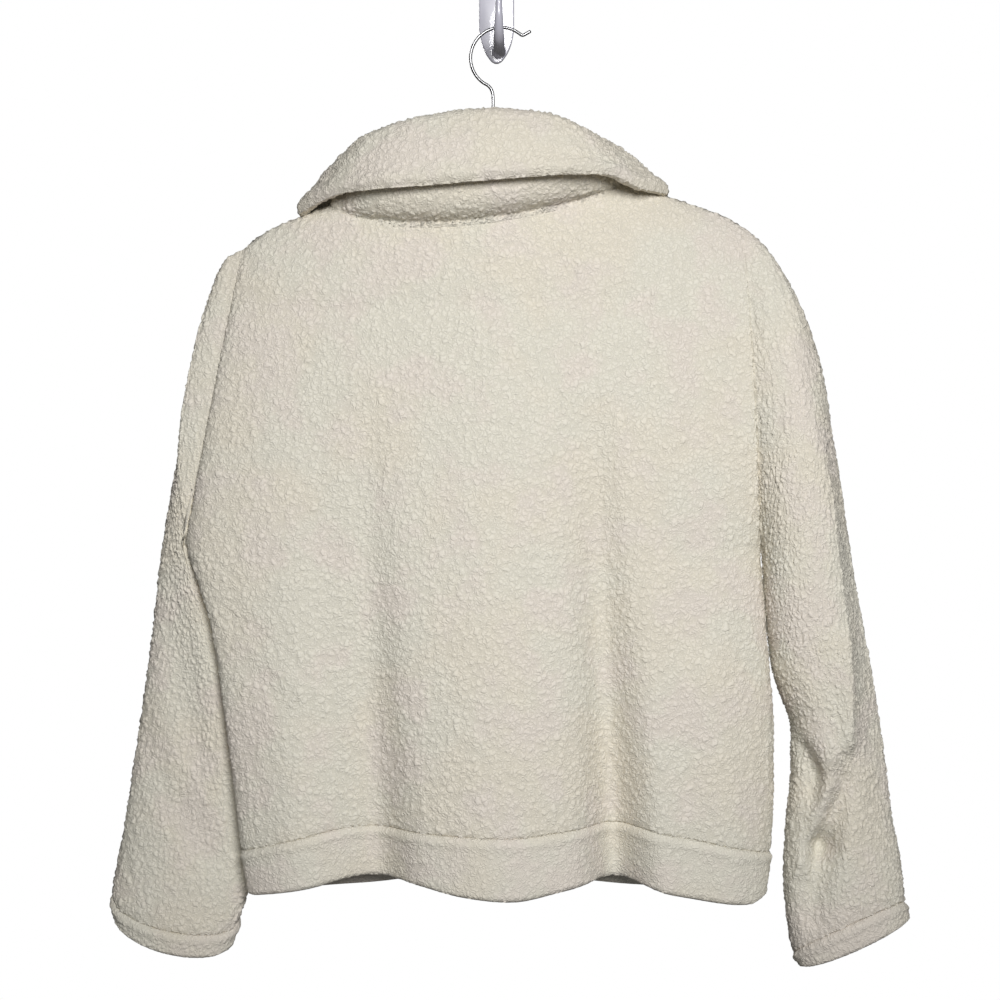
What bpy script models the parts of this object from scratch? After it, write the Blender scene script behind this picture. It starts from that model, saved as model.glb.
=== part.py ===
"""A cropped half-zip pullover of sherpa fleece, hung on a hanger from a wall hook, at rest.

Run it with  blender --background --python part.py  or from Blender's text editor.
Blender's units are metres, +Z is up. The origin is the middle of the wall hook's rear face, and the wall is
the plane Y = 0. The pullover hangs with its front, and its zip, to the wall (+Y) and its back to the room
(-Y). The sizes and tables below are in millimetres: x across, y from the plane of the hanger (negative to
the room), and z up from the level of the hem. `place` takes them to the frame.
"""

import math

import bpy
import numpy as np

# ---------------------------------------------------------------- driving sizes, in millimetres

WALL_Y = 50.0  # the wall, behind the plane of the hanger
HOOK_Z = 785.0  # the wall hook's middle, above the hem's level

FLEECE = 4.5  # fleece with its pile
DOUBLED = 8.0  # fleece turned double and sewn down: collar, hem band and cuff hems
SEAM = 0.3  # between two pieces at a seam
CORNER_WALL, CORNER_GAP = 1.6, 0.9  # where three pieces meet: fleece pressed thin, and each piece's own gap

COLUMNS = 22  # across the back or the front
BODY_ROWS = 8  # hem seam to underarm
ARM_ROWS = 10  # underarm to shoulder, and half the way round an armhole
SLEEVE_RINGS = 15

# The line of the shoulders, along the top of the cloth: two slopes that meet over the hanger's middle.
SHOULDER_TOP = 666.0
SHOULDER_SLOPE = {"left": 0.394, "right": 0.335}
TIP_X = {"left": -222.0, "right": 214.0}
TIP_START = 190.0  # past this the cloth rounds off the hanger's end
TIP_RUN = 30.0
TIP_DROP = 8.0

# Armholes: the underarm point, and how far the edge bows back and front between it and the shoulder.
UNDERARM = {"left": (-272.0, -2.0, 313.0), "right": (229.0, -4.0, 309.0)}
ARMHOLE_BOW = {"left": {"back": -10.0, "front": 16.0}, "right": {"back": -25.0, "front": 27.0}}
TUBE_ROUND = 0.75  # how a flattened tube rounds off at its edges: 1 is an ellipse

# Side seams below the underarm: height, x.
SIDE_X = {
    "left": (
        (8, -213), (48, -220.5), (110, -228), (178, -237), (213, -242), (247, -249), (273, -257.5),
        (297, -267), (313, -272),
    ),
    "right": (
        (0, 232), (45, 237.5), (100, 240.5), (158, 240.5),
        (206, 237), (245, 234), (280, 231.5), (309, 229),
    ),
}
# Height, y of the side seams.
SIDE_Y = {"left": ((0, -24), (150, -24), (250, -20), (313, -2)), "right": ((0, -9), (150, -7), (309, -4))}

# How far the body stands off the hanger's plane, by the drop below the line of the shoulders.
DEPTH = {
    "back": (
        (0, 0), (1.5, 6), (5, 10), (12, 14), (26, 19), (58, 27),
        (110, 33), (190, 41), (300, 49), (430, 55), (640, 58),
    ),
    "front": (
        (0, 0), (1.5, 6), (5, 9.5), (12, 13), (26, 15), (58, 18),
        (110, 22), (190, 26), (300, 31), (430, 35), (640, 38),
    ),
}
BACK_ROUND = 2.6  # the back turns its sides like a superellipse of this power
FRONT_ROUND = 0.7  # the front, which lies to the wall, turns them flatter

# Neck seam: how far it sags from the line between the neck points.
NECK_COLUMNS = (5, 14)
NECK_SAG = {"back": 26.0, "front": 72.0}
NECK_LEAN = {"back": 0.85, "front": 1.0}  # under 1 it hangs lowest to the left
NECK_ROUND = {"back": 0.7, "front": 0.8}

# Half zip: the slit stands open above the slider.
ZIP_FOOT = 400.0
SLIDER_Z = 468.0
SLIT = 14.4  # between the slit's edges where the zip is closed
SLIT_U = 0.0155  # the slit's edges, from the middle of the front
SLIT_SPREAD = 25.0  # what each edge moves aside at the neck
SLIT_EASE = 0.09  # how far across the front the cloth moves with it
EASE_FOOT, EASE_RUN = 300.0, 80.0  # and from which height

# Hem band: place across, height of the seam above the band, height of the lower edge.
HEM = {
    "back": (
        (0.00, 48, 10), (0.04, 53, 13), (0.12, 62, 19), (0.22, 70, 27), (0.32, 68, 23), (0.42, 66, 15),
        (0.51, 65, 12), (0.61, 69, 19), (0.70, 71.5, 24), (0.80, 65, 15), (0.90, 55, 6), (0.97, 48, 3),
        (1.00, 45, 8),
    ),
    "front": ((0.00, 48, 10), (0.20, 58, 12), (0.40, 66, 18), (0.60, 63, 15), (0.80, 57, 9), (1.00, 45, 8)),
}
# Down the hem band or a cuff hem: place, how much thicker it is than the fleece above, on each side.
HEM_BAND = ((0, 0), (0.12, 1), (0.5, 1), (0.9, 1), (1, 0))

# Folds: x, z, depth and half-width at the top, then the same at the foot. A depth over 0 sinks into the
# body, and one under 0 stands out from it.
FOLDS = {
    "back": (
        (-150, 450, 0, 24, -116, 0, 17, 36),
        (-20, 540, 0, 60, -2, 0, -15, 52),
        (70, 450, 0, 26, 108, 0, 15, 34),
        (172, 560, 4, 16, 170, 230, 4, 20),
        (150, 520, -3, 20, 205, 0, -8, 30),
        (-190, 330, 0, 24, -172, 0, -7, 30),
    ),
    "front": ((60, 420, 0, 30, 100, 0, 10, 40), (-60, 380, 0, 30, -100, 0, 8, 38)),
}

# Sleeves, ring by ring below the armhole, to the cuff's seam and the cuff's lower edge: the outer edge's
# x, y, z, the inner edge's x, y, z, how far the back and the front stand off them, how far the back hangs,
# and how far the ring bows outwards between its edges.
SLEEVES = {
    "left": (
        (-236, 0, 562, -271, -1, 302, -10, 17, 0, 3),
        (-252, 3, 530, -267, 2, 286, -12, 19, 0, 14),
        (-262, 5, 482, -257, 5, 267, -13, 21, 0, 19),
        (-274, 7, 420, -247, 8, 246, -15, 22, 0, 17),
        (-288, 8, 355, -236, 9, 222, -18, 23, 0, 10),
        (-298, 9, 295, -227, 10, 190, -20, 24, 0, 4),
        (-305, 9, 235, -218, 10, 150, -21, 24, 0, 0),
        (-313, 9, 175, -213, 10, 108, -21, 24, 2, 0),
        (-322, 9, 115, -212, 10, 65, -21, 24, 6, 0),
        (-331, 8, 55, -216, 9, 20, -22, 25, 12, 0),
        (-340, 7, 2, -226, 8, -18, -24, 25, 18, 0),
        (-337, 7, -18, -232, 8, -38, -24, 25, 18, 0),
    ),
    "right": (
        (229, -2, 577, 231, -4, 300, -30, 30, 0, 0),
        (249, -4, 549, 232, -4, 288, -34, 34, 0, 0),
        (269, -5, 509, 232.5, -4, 276, -38, 37, 0, 0),
        (284, -5, 460, 233, -4, 262, -40, 39, 0, 0),
        (293, -4, 405, 234.5, -4, 245, -42, 41, 0, 0),
        (302, -3, 350, 237, -4, 225, -43, 42, 0, 0),
        (311, -3, 290, 240, -4, 203, -43, 43, 0, 0),
        (321, -3, 235, 248, -3, 178, -42, 43, 0, 0),
        (330, -2, 185, 257, -2, 150, -40, 42, 0, 0),
        (339, -1, 125, 257, -1, 112, -37, 40, 0, 0),
        (346, 0, 70, 253.5, 0, 75, -34, 37, 2, 0),
        (353, 0, 34, 250.5, 0, 20, -32, 33, 3, 0),
        (360, 0, 10, 254, 0, -28, -30, 29, 4, 0),
        (361, 0, -9, 259, 0, -50, -30, 29, 4, 0),
    ),
}

# Collar, along the neck seam from the zip's left edge (-1) by the back (0) to its right edge (1): the top of
# the fold's x, y, z, and the lower edge of the turned-down part's x, y, z.
COLLAR = (
    (-1.00, -48, 28, 584, -86, 39, 456),
    (-0.88, -66, 27, 594, -118, 39, 509),
    (-0.75, -88, 24, 609, -150, 36, 562),
    (-0.62, -112, 14, 641, -172, 15, 600),
    (-0.50, -122, -4, 653, -170, -4, 603),
    (-0.40, -116, -22, 658, -154, -27, 606),
    (-0.30, -104, -36, 662, -128, -45, 612),
    (-0.15, -66, -44, 673, -82, -62, 613.5),
    (0.00, -8, -46, 680, -8, -66, 619),
    (0.15, 38, -45, 677, 56, -64, 624),
    (0.28, 64, -40, 669, 94, -52, 626),
    (0.40, 84, -24, 661, 128, -30, 616.5),
    (0.50, 96, -4, 657, 144, -4, 624),
    (0.62, 88, 14, 642, 146, 15, 616),
    (0.75, 67, 24, 609, 136, 36, 570),
    (0.88, 52, 27, 595, 106, 39, 513),
    (1.00, 38, 28, 586, 77, 39, 460),
)
FOLD_RADIUS = 7.0
STAND_BULGE, STAND_BULGE_END = 45.0, 0.46  # how far the stand bellies out at the back, and where that ends
STAND_AIM = 0.5  # how far it rises as it sets out
FALL_BULGE = 0.35  # how far the fall bows out between its fold and its edge
STAND_STEPS, FOLD_STEPS, FALL_STEPS = 4, 4, 4
STAND_RISE = 0.5  # how far up the stand the collar's cloth comes to its double thickness
LIFT = 7.6  # from the shoulders' outer face to the middle of the fall's cloth, at the least
LIFT_REACH = 60.0  # how far down the shoulders that counts
CREST_LIFT, CREST_HALF = 9.0, 15.0  # what it gains where it bends over their crest, and how near that is

# Zip. Each tape stands out of its cloth's edge into the slit: how far out, and its half-thickness there.
TAPE = ((0.3, 0.6), (3.0, 0.6), (5.0, 1.5), (6.6, 1.5))
STOP_HALF = (6.6, 1.6)  # the bottom stop across and in depth
STOP_HEIGHT = 3.0
# The slider's blocks and the pull tab's, from the zip's middle: low and high x, y, z. The front is +y.
SLIDER = (
    (-5.5, 5.5, 2.2, 3.6, -6.0, 6.0),  # front plate
    (-5.5, 5.5, -3.6, -2.2, -6.0, 6.0),  # rear plate
    (-0.6, 0.6, -2.9, 2.9, 3.4, 5.4),  # the post that parts the tapes
    (-1.0, 1.0, 2.9, 6.0, 2.8, 3.8),  # the bail's legs and its bridge
    (-1.0, 1.0, 2.9, 6.0, -2.2, -1.2),
    (-1.0, 1.0, 5.0, 6.0, -2.2, 3.8),
)
PULL_TAB = (
    (-2.6, 2.6, 3.9, 4.7, 0.4, 1.2),  # the bar under the bridge
    (-2.6, -1.3, 3.9, 4.7, -3.6, 1.2),  # its arms
    (1.3, 2.6, 3.9, 4.7, -3.6, 1.2),
    (-2.6, 2.6, 3.9, 4.7, -19.0, -3.2),  # the tab
)

# Hanger: a bar inside the shoulders, dipped at the neck, and its wire hook.
BAR_END, BAR_HALF = 200.0, (3.5, 9.0)
BAR_CLEAR = 7.5  # from the cloth's crest to the top of the bar at its ends
NECK_DIP, DIP_REACH, DIP_POWER = 26.0, 185.0, 0.7  # it arches less than the shoulders do, towards the neck
WIRE = 1.4
WIRE_STEM = ((-3.5, 700.0), (-3.7, 705.5), (-5.3, 710.0), (-8.0, 712.9))
WIRE_RING = (3.5, 736.75, 26.75)  # centre x, z and radius
WIRE_TURN = (237.0, 46.0)
WIRE_TIP = (29.7, 760.4)

# Wall hook: a plate on the wall, half-width by height, and an arm that comes out of its foot and turns up.
PLATE_X = -0.5
PLATE = ((742.7, 1.5), (744.0, 4.0), (747.5, 7.0), (753, 10.5), (763, 14), (775, 15.75), (828, 15.75))
PLATE_THICK, PLATE_EDGE = 4.0, 1.2
ARM_X = 1.5
# y, z, half-width and half-depth along the arm.
ARM = (
    (48.5, 752.5, 6.5, 6.0),
    (40.0, 752.4, 6.3, 5.8),
    (20.0, 752.6, 5.2, 5.2),
    (5.0, 754.6, 5.0, 4.8),
    (-6.0, 761.0, 4.2, 4.0),
    (-11.5, 773.0, 3.4, 3.4),
    (-13.0, 795.0, 2.6, 2.6),
)

# ---------------------------------------------------------------- curves and places


def place(points):
    """Table millimetres to metres in the frame."""
    return (np.asarray(points, float) - (0.0, WALL_Y, HOOK_Z)) / 1000


def mix(a, b, t):
    return a + (b - a) * t


def unit(vectors):
    return vectors / np.maximum(np.linalg.norm(vectors, axis=-1, keepdims=True), 1e-9)


def through(rows, at, column=1):
    """The smooth curve through a table, of one column against its first, which never overshoots its rows."""
    knots, values = np.array([(row[0], row[column]) for row in rows], float).T
    steps = np.diff(knots)
    rises = np.diff(values) / steps
    turns = rises[:-1] * rises[1:] <= 0
    sums = np.where(turns, 1, rises[:-1] + rises[1:])
    inner = np.where(turns, 0, 2 * rises[:-1] * rises[1:] / sums)
    slopes = np.concatenate([rises[:1], inner, rises[-1:]])
    at = np.clip(at, knots[0], knots[-1])
    i = np.clip(np.searchsorted(knots, at, side="right") - 1, 0, len(steps) - 1)
    t = (at - knots[i]) / steps[i]
    low = (values[i] * (1 + 2 * t) + slopes[i] * steps[i] * t) * (1 - t) ** 2
    high = (values[i + 1] * (3 - 2 * t) - slopes[i + 1] * steps[i] * (1 - t)) * t**2
    return low + high


def bezier(start, start_pull, end_pull, end, t):
    """A cubic curve between two points, or two arrays of them, at t."""
    first = start * (1 - t) ** 3 + 3 * start_pull * t * (1 - t) ** 2
    return first + 3 * end_pull * t**2 * (1 - t) + end * t**3


def sunk(table, x, z):
    """How far a table of folds sinks the cloth, at x and z."""
    depth = np.zeros(np.shape(x))
    for x1, z1, depth1, width1, x2, z2, depth2, width2 in table:
        run, rise = x2 - x1, z2 - z1
        t = np.clip(((x - x1) * run + (z - z1) * rise) / (run**2 + rise**2), 0, 1)
        gap = (x - x1 - t * run) ** 2 + (z - z1 - t * rise) ** 2
        depth = depth + mix(depth1, depth2, t) * np.exp(-gap / mix(width1, width2, t) ** 2)
    return depth


def even_arc(count):
    """Places from 0 to 1, closer together towards both ends."""
    return (1 - np.cos(np.pi * np.arange(count + 1) / count)) / 2


# ---------------------------------------------------------------- the body's surface

ACROSS = {"back": np.delete(even_arc(COLUMNS), (1, COLUMNS - 1))}
MIDDLE = len(ACROSS["back"]) // 2
ACROSS["front"] = np.sort(np.append(np.delete(ACROSS["back"], MIDDLE), [0.5 - SLIT_U, 0.5 + SLIT_U]))
NECK_U = [ACROSS["back"][column] for column in NECK_COLUMNS]
BODY_V = np.append(np.arange(BODY_ROWS) / BODY_ROWS, 1 + even_arc(ARM_ROWS))


def shoulder_line(x):
    """Height of the cloth's crest over the hanger."""
    slope = np.where(x < 0, SHOULDER_SLOPE["left"], SHOULDER_SLOPE["right"])
    past = np.clip((np.abs(x) - TIP_START) / TIP_RUN, 0, 1.2)
    return SHOULDER_TOP - slope * np.abs(x) - TIP_DROP * past**2


def shoulder_tip(side):
    return TIP_X[side], 0.0, float(shoulder_line(TIP_X[side]))


def armhole(side, face, drop):
    """x, y, z of the armhole's edge, `drop` of the way from the shoulder's tip to the underarm."""
    x, y, z = (mix(high, low, drop) for high, low in zip(shoulder_tip(side), UNDERARM[side]))
    return x, y + ARMHOLE_BOW[side][face] * (4 * drop * (1 - drop)) ** (TUBE_ROUND / 2), z


def top_edge(face, u):
    """Height of a panel's top edge: shoulder, neck, shoulder."""
    ends = [float(shoulder_line(mix(TIP_X["left"], TIP_X["right"], end))) for end in NECK_U]
    t = np.clip((u - NECK_U[0]) / (NECK_U[1] - NECK_U[0]), 0, 1)
    sag = NECK_SAG[face] * np.abs(np.sin(np.pi * t ** NECK_LEAN[face])) ** NECK_ROUND[face]
    in_neck = (t > 0) & (t < 1)
    shoulder = shoulder_line(mix(TIP_X["left"], TIP_X["right"], u))
    return np.where(in_neck, mix(ends[0], ends[1], t) - sag, shoulder)


def height(face, u, v):
    """z of the body's surface at u and v."""
    seam, foot = through(HEM[face], u, 1), through(HEM[face], u, 2)
    underarm = mix(UNDERARM["left"][2], UNDERARM["right"][2], u)
    below = np.where(v < 0, mix(seam, foot, -v), mix(seam, underarm, v))
    return np.where(v > 1, mix(underarm, top_edge(face, u), v - 1), below)


def side_edge(side, face, v):
    """x and y of the body's left or right edge at v: side seam, then armhole."""
    z = height(face, np.full(np.shape(v), float(side == "right")), v)
    x, y, _ = armhole(side, face, np.clip(2 - v, 0, 1))
    return np.where(v > 1, x, through(SIDE_X[side], z)), np.where(v > 1, y, through(SIDE_Y[side], z))


def body(face, u, v):
    """The outer face of the back or front: u across, v -1 lower edge, 0 hem seam, 1 underarm, 2 top."""
    z = height(face, u, v)
    left_x, left_y = side_edge("left", face, v)
    right_x, right_y = side_edge("right", face, v)
    x = mix(left_x, right_x, u)
    edge_y = left_y * (1 - u) ** 2 + right_y * u**2
    depth = through(DEPTH[face], shoulder_line(x) - z)
    if face == "back":
        across = (1 - np.abs(2 * u - 1) ** BACK_ROUND) ** (1 / BACK_ROUND)
        return np.stack([x, edge_y - (depth + edge_y - sunk(FOLDS[face], x, z)) * across, z], axis=-1)
    across = np.abs(np.sin(np.pi * u)) ** FRONT_ROUND
    spread = SLIT_SPREAD * np.clip((z - SLIDER_Z) / (top_edge(face, 0.5) - SLIDER_Z), 0, 1) ** 1.2
    slit = SLIT / 2 + spread - SLIT_U * (right_x - left_x)
    beside = np.exp(-(((np.abs(u - 0.5) - SLIT_U) / SLIT_EASE) ** 2))
    eased = beside * np.clip((z - EASE_FOOT) / EASE_RUN, 0, 1)
    x = x + np.sign(u - 0.5) * slit * eased
    return np.stack([x, edge_y + (depth - edge_y - sunk(FOLDS[face], x, z)) * across, z], axis=-1)


# ---------------------------------------------------------------- sleeves and collar


def sleeve(side, ring, turn):
    """The outer face of a sleeve: ring 0 at the armhole, then the table's; turn 0 outer edge, by the back."""
    bow = ARMHOLE_BOW[side]
    armhole_ring = shoulder_tip(side) + UNDERARM[side] + (bow["back"], bow["front"], 0, 0)
    rows = [(number, *row) for number, row in enumerate((armhole_ring, *SLEEVES[side]))]
    outer_x, outer_y, outer_z, inner_x, inner_y, inner_z, back, front, hang, outwards = (
        through(rows, ring, column) for column in range(1, 11)
    )
    drop = (1 - np.cos(turn)) / 2
    stand = np.abs(np.sin(turn)) ** TUBE_ROUND
    at_back = np.sin(turn) > 0
    x = mix(outer_x, inner_x, drop) + np.sign(outer_x) * outwards * 4 * drop * (1 - drop)
    y = mix(outer_y, inner_y, drop) + np.where(at_back, back, front) * stand
    z = mix(outer_z, inner_z, drop) - np.where(at_back, hang, -hang) * stand
    return np.stack([x, y, z], axis=-1)


def neck_place(s):
    """The face and u of a place along the neck seam, from the zip by the back to the zip again."""
    if abs(s) <= 0.5:
        return "back", mix(NECK_U[0], NECK_U[1], s + 0.5)
    if s < 0:
        return "front", mix(0.5 - SLIT_U, NECK_U[0], 2 * (s + 1))
    return "front", mix(NECK_U[1], 0.5 + SLIT_U, 2 * (s - 0.5))


def neck_seam(s):
    face, u = neck_place(s)
    return body(face, np.array(u), np.array(2.0))


def lifted(point, t):
    """A point of the collar's fall, moved off the shoulder that it rests on."""
    x, y, z = point
    lift = LIFT + CREST_LIFT * (3 - t) * math.exp(-((y / CREST_HALF) ** 2))
    drops = np.linspace(0, LIFT_REACH, 60)
    sides = [np.stack([sign * through(DEPTH[face], drops), shoulder_line(x) - drops], axis=-1)
             for face, sign in (("back", -1), ("front", 1))]
    outline = np.concatenate([sides[0][::-1], sides[1][1:]])
    away = (y, z) - outline
    nearest = int(np.argmin(np.linalg.norm(away, axis=1)))
    ahead = outline[min(nearest + 1, len(outline) - 1)] - outline[max(nearest - 1, 0)]
    out = unit(np.array([-ahead[1], ahead[0]]))
    short = lift - float(away[nearest] @ out)
    return np.array([x, y + out[0] * max(short, 0), z + out[1] * max(short, 0)])


def collar(s, t):
    """The middle of the collar's cloth: t 0 to 1 up the stand, 1 to 2 over the fold, 2 to 3 down the fall."""
    seam = neck_seam(s)
    fold = np.array([through(COLLAR, s, column) for column in (1, 2, 3)])
    edge = np.array([through(COLLAR, s, column) for column in (4, 5, 6)])
    ahead, behind = s + 0.03, s - 0.03
    run_x, run_y = (through(COLLAR, ahead, column) - through(COLLAR, behind, column) for column in (1, 2))
    outward = unit(np.array([run_y, -run_x, 0.0]))
    up = np.array([0.0, 0.0, 1.0])
    base = fold - up * FOLD_RADIUS
    if t <= 1:
        top = base - outward * FOLD_RADIUS
        pull = np.linalg.norm(top - seam) * 0.35
        bulge = max(1 - (s / STAND_BULGE_END) ** 4, 0)
        start = mix(unit(top - seam + up * 10) * pull, unit(outward + up * STAND_AIM) * STAND_BULGE, bulge)
        return bezier(seam, seam + start, top - up * pull, top, t)
    lean = unit(edge - base)
    square = up * (lean @ outward) - outward * lean[2]
    away = unit(lean + square * FALL_BULGE)
    last = math.atan2(away @ outward, away[2])
    angle = last * min(t - 1, 1)
    turned = base + FOLD_RADIUS * (up * math.sin(angle) - outward * math.cos(angle))
    if t <= 2:
        return turned
    pull = np.linalg.norm(edge - turned) * 0.35
    inward = edge - unit(lean - square * FALL_BULGE) * pull
    return lifted(bezier(turned, turned + away * pull, inward, edge, t - 2), t)


# ---------------------------------------------------------------- cloth as walls


RIM_ORDER = (1.0, 0.37, 0.71)  # along this, both sides of a seam split their rims' faces the same way


class Cloth:
    """A piece of cloth: a grid of points on its outer face, which `sew` gives a wall.

    `facing` is 1 or -1, whichever turns the grid's normals outwards. `thick` and `proud` have one number for
    each row: the wall, and how far it stands out from the grid. `round` joins the last column to the first.
    `slit` is a column of faces left out above a row.
    """

    def __init__(self, name, grid, facing, thick=FLEECE, proud=0.0, round=False, slit=None):
        self.name, self.grid, self.round, self.slit = name, np.array(grid), round, slit
        rows = len(self.grid)
        self.thick = np.broadcast_to(np.asarray(thick, float), rows)
        self.proud = np.broadcast_to(np.asarray(proud, float), rows)
        down, across = np.gradient(self.grid, axis=0), np.gradient(self.grid, axis=1)
        if round:
            across = np.roll(self.grid, -1, axis=1) - np.roll(self.grid, 1, axis=1)
        self.normal = unit(np.cross(across, down)) * facing
        self.outer = self.grid + self.normal * self.proud[:, None, None]
        self.inner = self.outer - self.normal * self.thick[:, None, None]

    def rim(self):
        """Each point of the border, with its neighbours further in."""
        rows, columns = self.grid.shape[:2]
        for i in range(rows):
            for j in range(columns):
                inward = [(1, 0)] * (i == 0) + [(-1, 0)] * (i == rows - 1)
                if not self.round:
                    inward += [(0, 1)] * (j == 0) + [(0, -1)] * (j == columns - 1)
                if inward:
                    yield i, j, inward

    def quads(self):
        rows, columns = self.grid.shape[:2]
        for i in range(rows - 1):
            for j in range(columns if self.round else columns - 1):
                if self.slit and j == self.slit[0] and i >= self.slit[1]:
                    continue
                k = (j + 1) % columns
                yield (i * columns + j, i * columns + k, (i + 1) * columns + k, (i + 1) * columns + j)

    def solid(self):
        """Points and faces of the closed wall."""
        count = self.grid.shape[0] * self.grid.shape[1]
        outer = list(self.quads())
        inner = [tuple(corner + count for corner in reversed(quad)) for quad in outer]
        edges = {(quad[k], quad[(k + 1) % 4]) for quad in outer for k in range(4)}
        order = self.grid.reshape(-1, 3) @ RIM_ORDER
        rims = []
        for a, b in sorted(edges):
            if (b, a) in edges:
                continue
            if order[a] < order[b]:
                rims += [(b, a, a + count), (b, a + count, b + count)]
            else:
                rims += [(b, a, b + count), (a, a + count, b + count)]
        points = np.concatenate([self.outer.reshape(-1, 3), self.inner.reshape(-1, 3)])
        return points, outer + inner + rims


def sew(pieces):
    """Gives pieces that meet at a seam one mitred edge, and draws each back by half the seam's gap."""
    rims = [(piece, i, j, inward) for piece in pieces for i, j, inward in piece.rim()]
    places = np.array([piece.grid[i, j] for piece, i, j, _ in rims])
    moves = []
    for number, (piece, i, j, inward) in enumerate(rims):
        near = np.flatnonzero(np.linalg.norm(places - places[number], axis=1) < SEAM / 6)
        met = {rims[other][0].name for other in near}
        if len(met) < 2:
            continue
        normals = np.array([rims[other][0].normal[rims[other][1], rims[other][2]] for other in near])
        shared = unit(normals.sum(axis=0))
        wall, gap = (FLEECE, SEAM / 2) if len(met) == 2 else (CORNER_WALL, CORNER_GAP)
        mitre = shared * wall / np.clip((normals @ shared).mean(), 0.62, 1)
        drawn = sum(unit(piece.grid[i + di, j + dj] - piece.grid[i, j]) for di, dj in inward) * gap
        moves.append((piece, i, j, piece.grid[i, j] + drawn, piece.grid[i, j] + drawn - mitre))
    for piece, i, j, outer, inner in moves:
        piece.outer[i, j], piece.inner[i, j] = outer, inner


# ---------------------------------------------------------------- objects and materials


def material(name, colour, roughness, metallic=0.0):
    made = bpy.data.materials.new(name)
    made.use_nodes = True
    shader = made.node_tree.nodes["Principled BSDF"]
    shader.inputs["Base Color"].default_value = (*colour, 1)
    shader.inputs["Roughness"].default_value = roughness
    shader.inputs["Metallic"].default_value = metallic
    return made


def add_object(name, mesh, finish):
    mesh.materials.append(finish)
    thing = bpy.data.objects.new(name, mesh)
    bpy.context.scene.collection.objects.link(thing)
    return thing


def mesh_of(name, points, faces, smooth=True):
    """A closed mesh from table points, turned right side out."""
    points = np.asarray(points, float)
    volume = 0.0
    for face in faces:
        for k in range(1, len(face) - 1):
            volume += np.dot(points[face[0]], np.cross(points[face[k]], points[face[k + 1]]))
    if volume < 0:
        faces = [tuple(reversed(face)) for face in faces]
    mesh = bpy.data.meshes.new(name)
    mesh.from_pydata(place(points).tolist(), [], [list(map(int, face)) for face in faces])
    mesh.validate()
    if smooth:
        mesh.shade_smooth()
        mesh.set_sharp_from_angle(angle=math.radians(50))
    return mesh


# ---------------------------------------------------------------- the pullover


def panel(face):
    u, v = np.meshgrid(ACROSS[face], BODY_V)
    slit = None
    grid = body(face, u, v)
    if face == "front":
        slit = (MIDDLE, int(np.argmin(np.abs(grid[:, MIDDLE, 2] - ZIP_FOOT))))
    return Cloth(face + "_panel", grid, 1 if face == "back" else -1, slit=slit)


def hem_band(face):
    down = np.array([row[0] for row in HEM_BAND])
    extra = np.array([row[1] for row in HEM_BAND], float)
    u, v = np.meshgrid(ACROSS[face], -down)
    thick = FLEECE + (DOUBLED - FLEECE) * extra
    return Cloth("hem_band_" + face, body(face, u, v), -1 if face == "back" else 1, thick, extra)


def sleeve_pieces(side):
    rings = len(SLEEVES[side])
    turns = 2 * np.pi * np.arange(2 * ARM_ROWS) / (2 * ARM_ROWS)
    facing = -1 if side == "left" else 1
    turn, ring = np.meshgrid(turns, np.linspace(0, rings - 1, SLEEVE_RINGS + 1))
    down = np.array([row[0] for row in HEM_BAND])
    extra = np.array([row[1] for row in HEM_BAND], float)
    cuff_turn, cuff_ring = np.meshgrid(turns, rings - 1 + down)
    thick = FLEECE + (DOUBLED - FLEECE) * extra
    return [
        Cloth("sleeve_" + side, sleeve(side, ring, turn), facing, round=True),
        Cloth("cuff_hem_" + side, sleeve(side, cuff_ring, cuff_turn), facing, thick, extra, round=True),
    ]


def collar_places():
    """Places along the neck seam that the panels' columns give."""
    first, last = NECK_COLUMNS
    back = [(ACROSS["back"][c] - NECK_U[0]) / (NECK_U[1] - NECK_U[0]) - 0.5 for c in range(first, last + 1)]
    low, high = 0.5 - SLIT_U, 0.5 + SLIT_U
    left = [(ACROSS["front"][c] - low) / (NECK_U[0] - low) / 2 - 1 for c in range(MIDDLE, first, -1)]
    right = [(ACROSS["front"][c] - NECK_U[1]) / (high - NECK_U[1]) / 2 + 0.5 for c in range(last, MIDDLE, -1)]
    return left + back + right


def collar_piece():
    steps = np.concatenate([
        np.arange(STAND_STEPS) / STAND_STEPS,
        1 + np.arange(FOLD_STEPS) / FOLD_STEPS,
        2 + np.arange(FALL_STEPS + 1) / FALL_STEPS,
    ])
    grid = np.array([[collar(s, t) for s in collar_places()] for t in steps])
    risen = np.clip(steps / STAND_RISE, 0, 1)
    return Cloth("collar", grid, 1, mix(FLEECE, DOUBLED, risen), DOUBLED / 2 * risen)


# ---------------------------------------------------------------- zip, hanger and wall hook


def loft(name, rings):
    """A closed mesh through rings of as many points, each symmetric from its first point to its last."""
    rings = np.asarray(rings, float)
    count, n = rings.shape[:2]
    faces = []
    for i in range(count - 1):
        for k in range(n):
            faces.append((i * n + k, i * n + (k + 1) % n, (i + 1) * n + (k + 1) % n, (i + 1) * n + k))
    last = (count - 1) * n
    for k in range(n // 2 - 1):
        faces.append((n - 1 - k, n - 2 - k, k + 1, k))
        faces.append((last + k, last + k + 1, last + n - 2 - k, last + n - 1 - k))
    return mesh_of(name, rings.reshape(-1, 3), faces)


def rod(name, path, across, halves, sides):
    """A bar along a flat path. `across` is square to the path's plane; `halves`: the half-sizes."""
    path = np.asarray(path, float)
    halves = np.broadcast_to(np.asarray(halves, float), (len(path), 2))
    other = unit(np.cross(unit(np.gradient(path, axis=0)), across))
    angles = 2 * np.pi * (np.arange(sides) + 0.5) / sides
    rings = []
    for centre, side, half in zip(path, other, halves):
        wide, deep = np.array(across) * half[0], side * half[1]
        rings.append([centre + wide * math.cos(a) + deep * math.sin(a) for a in angles])
    return loft(name, rings)


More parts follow.
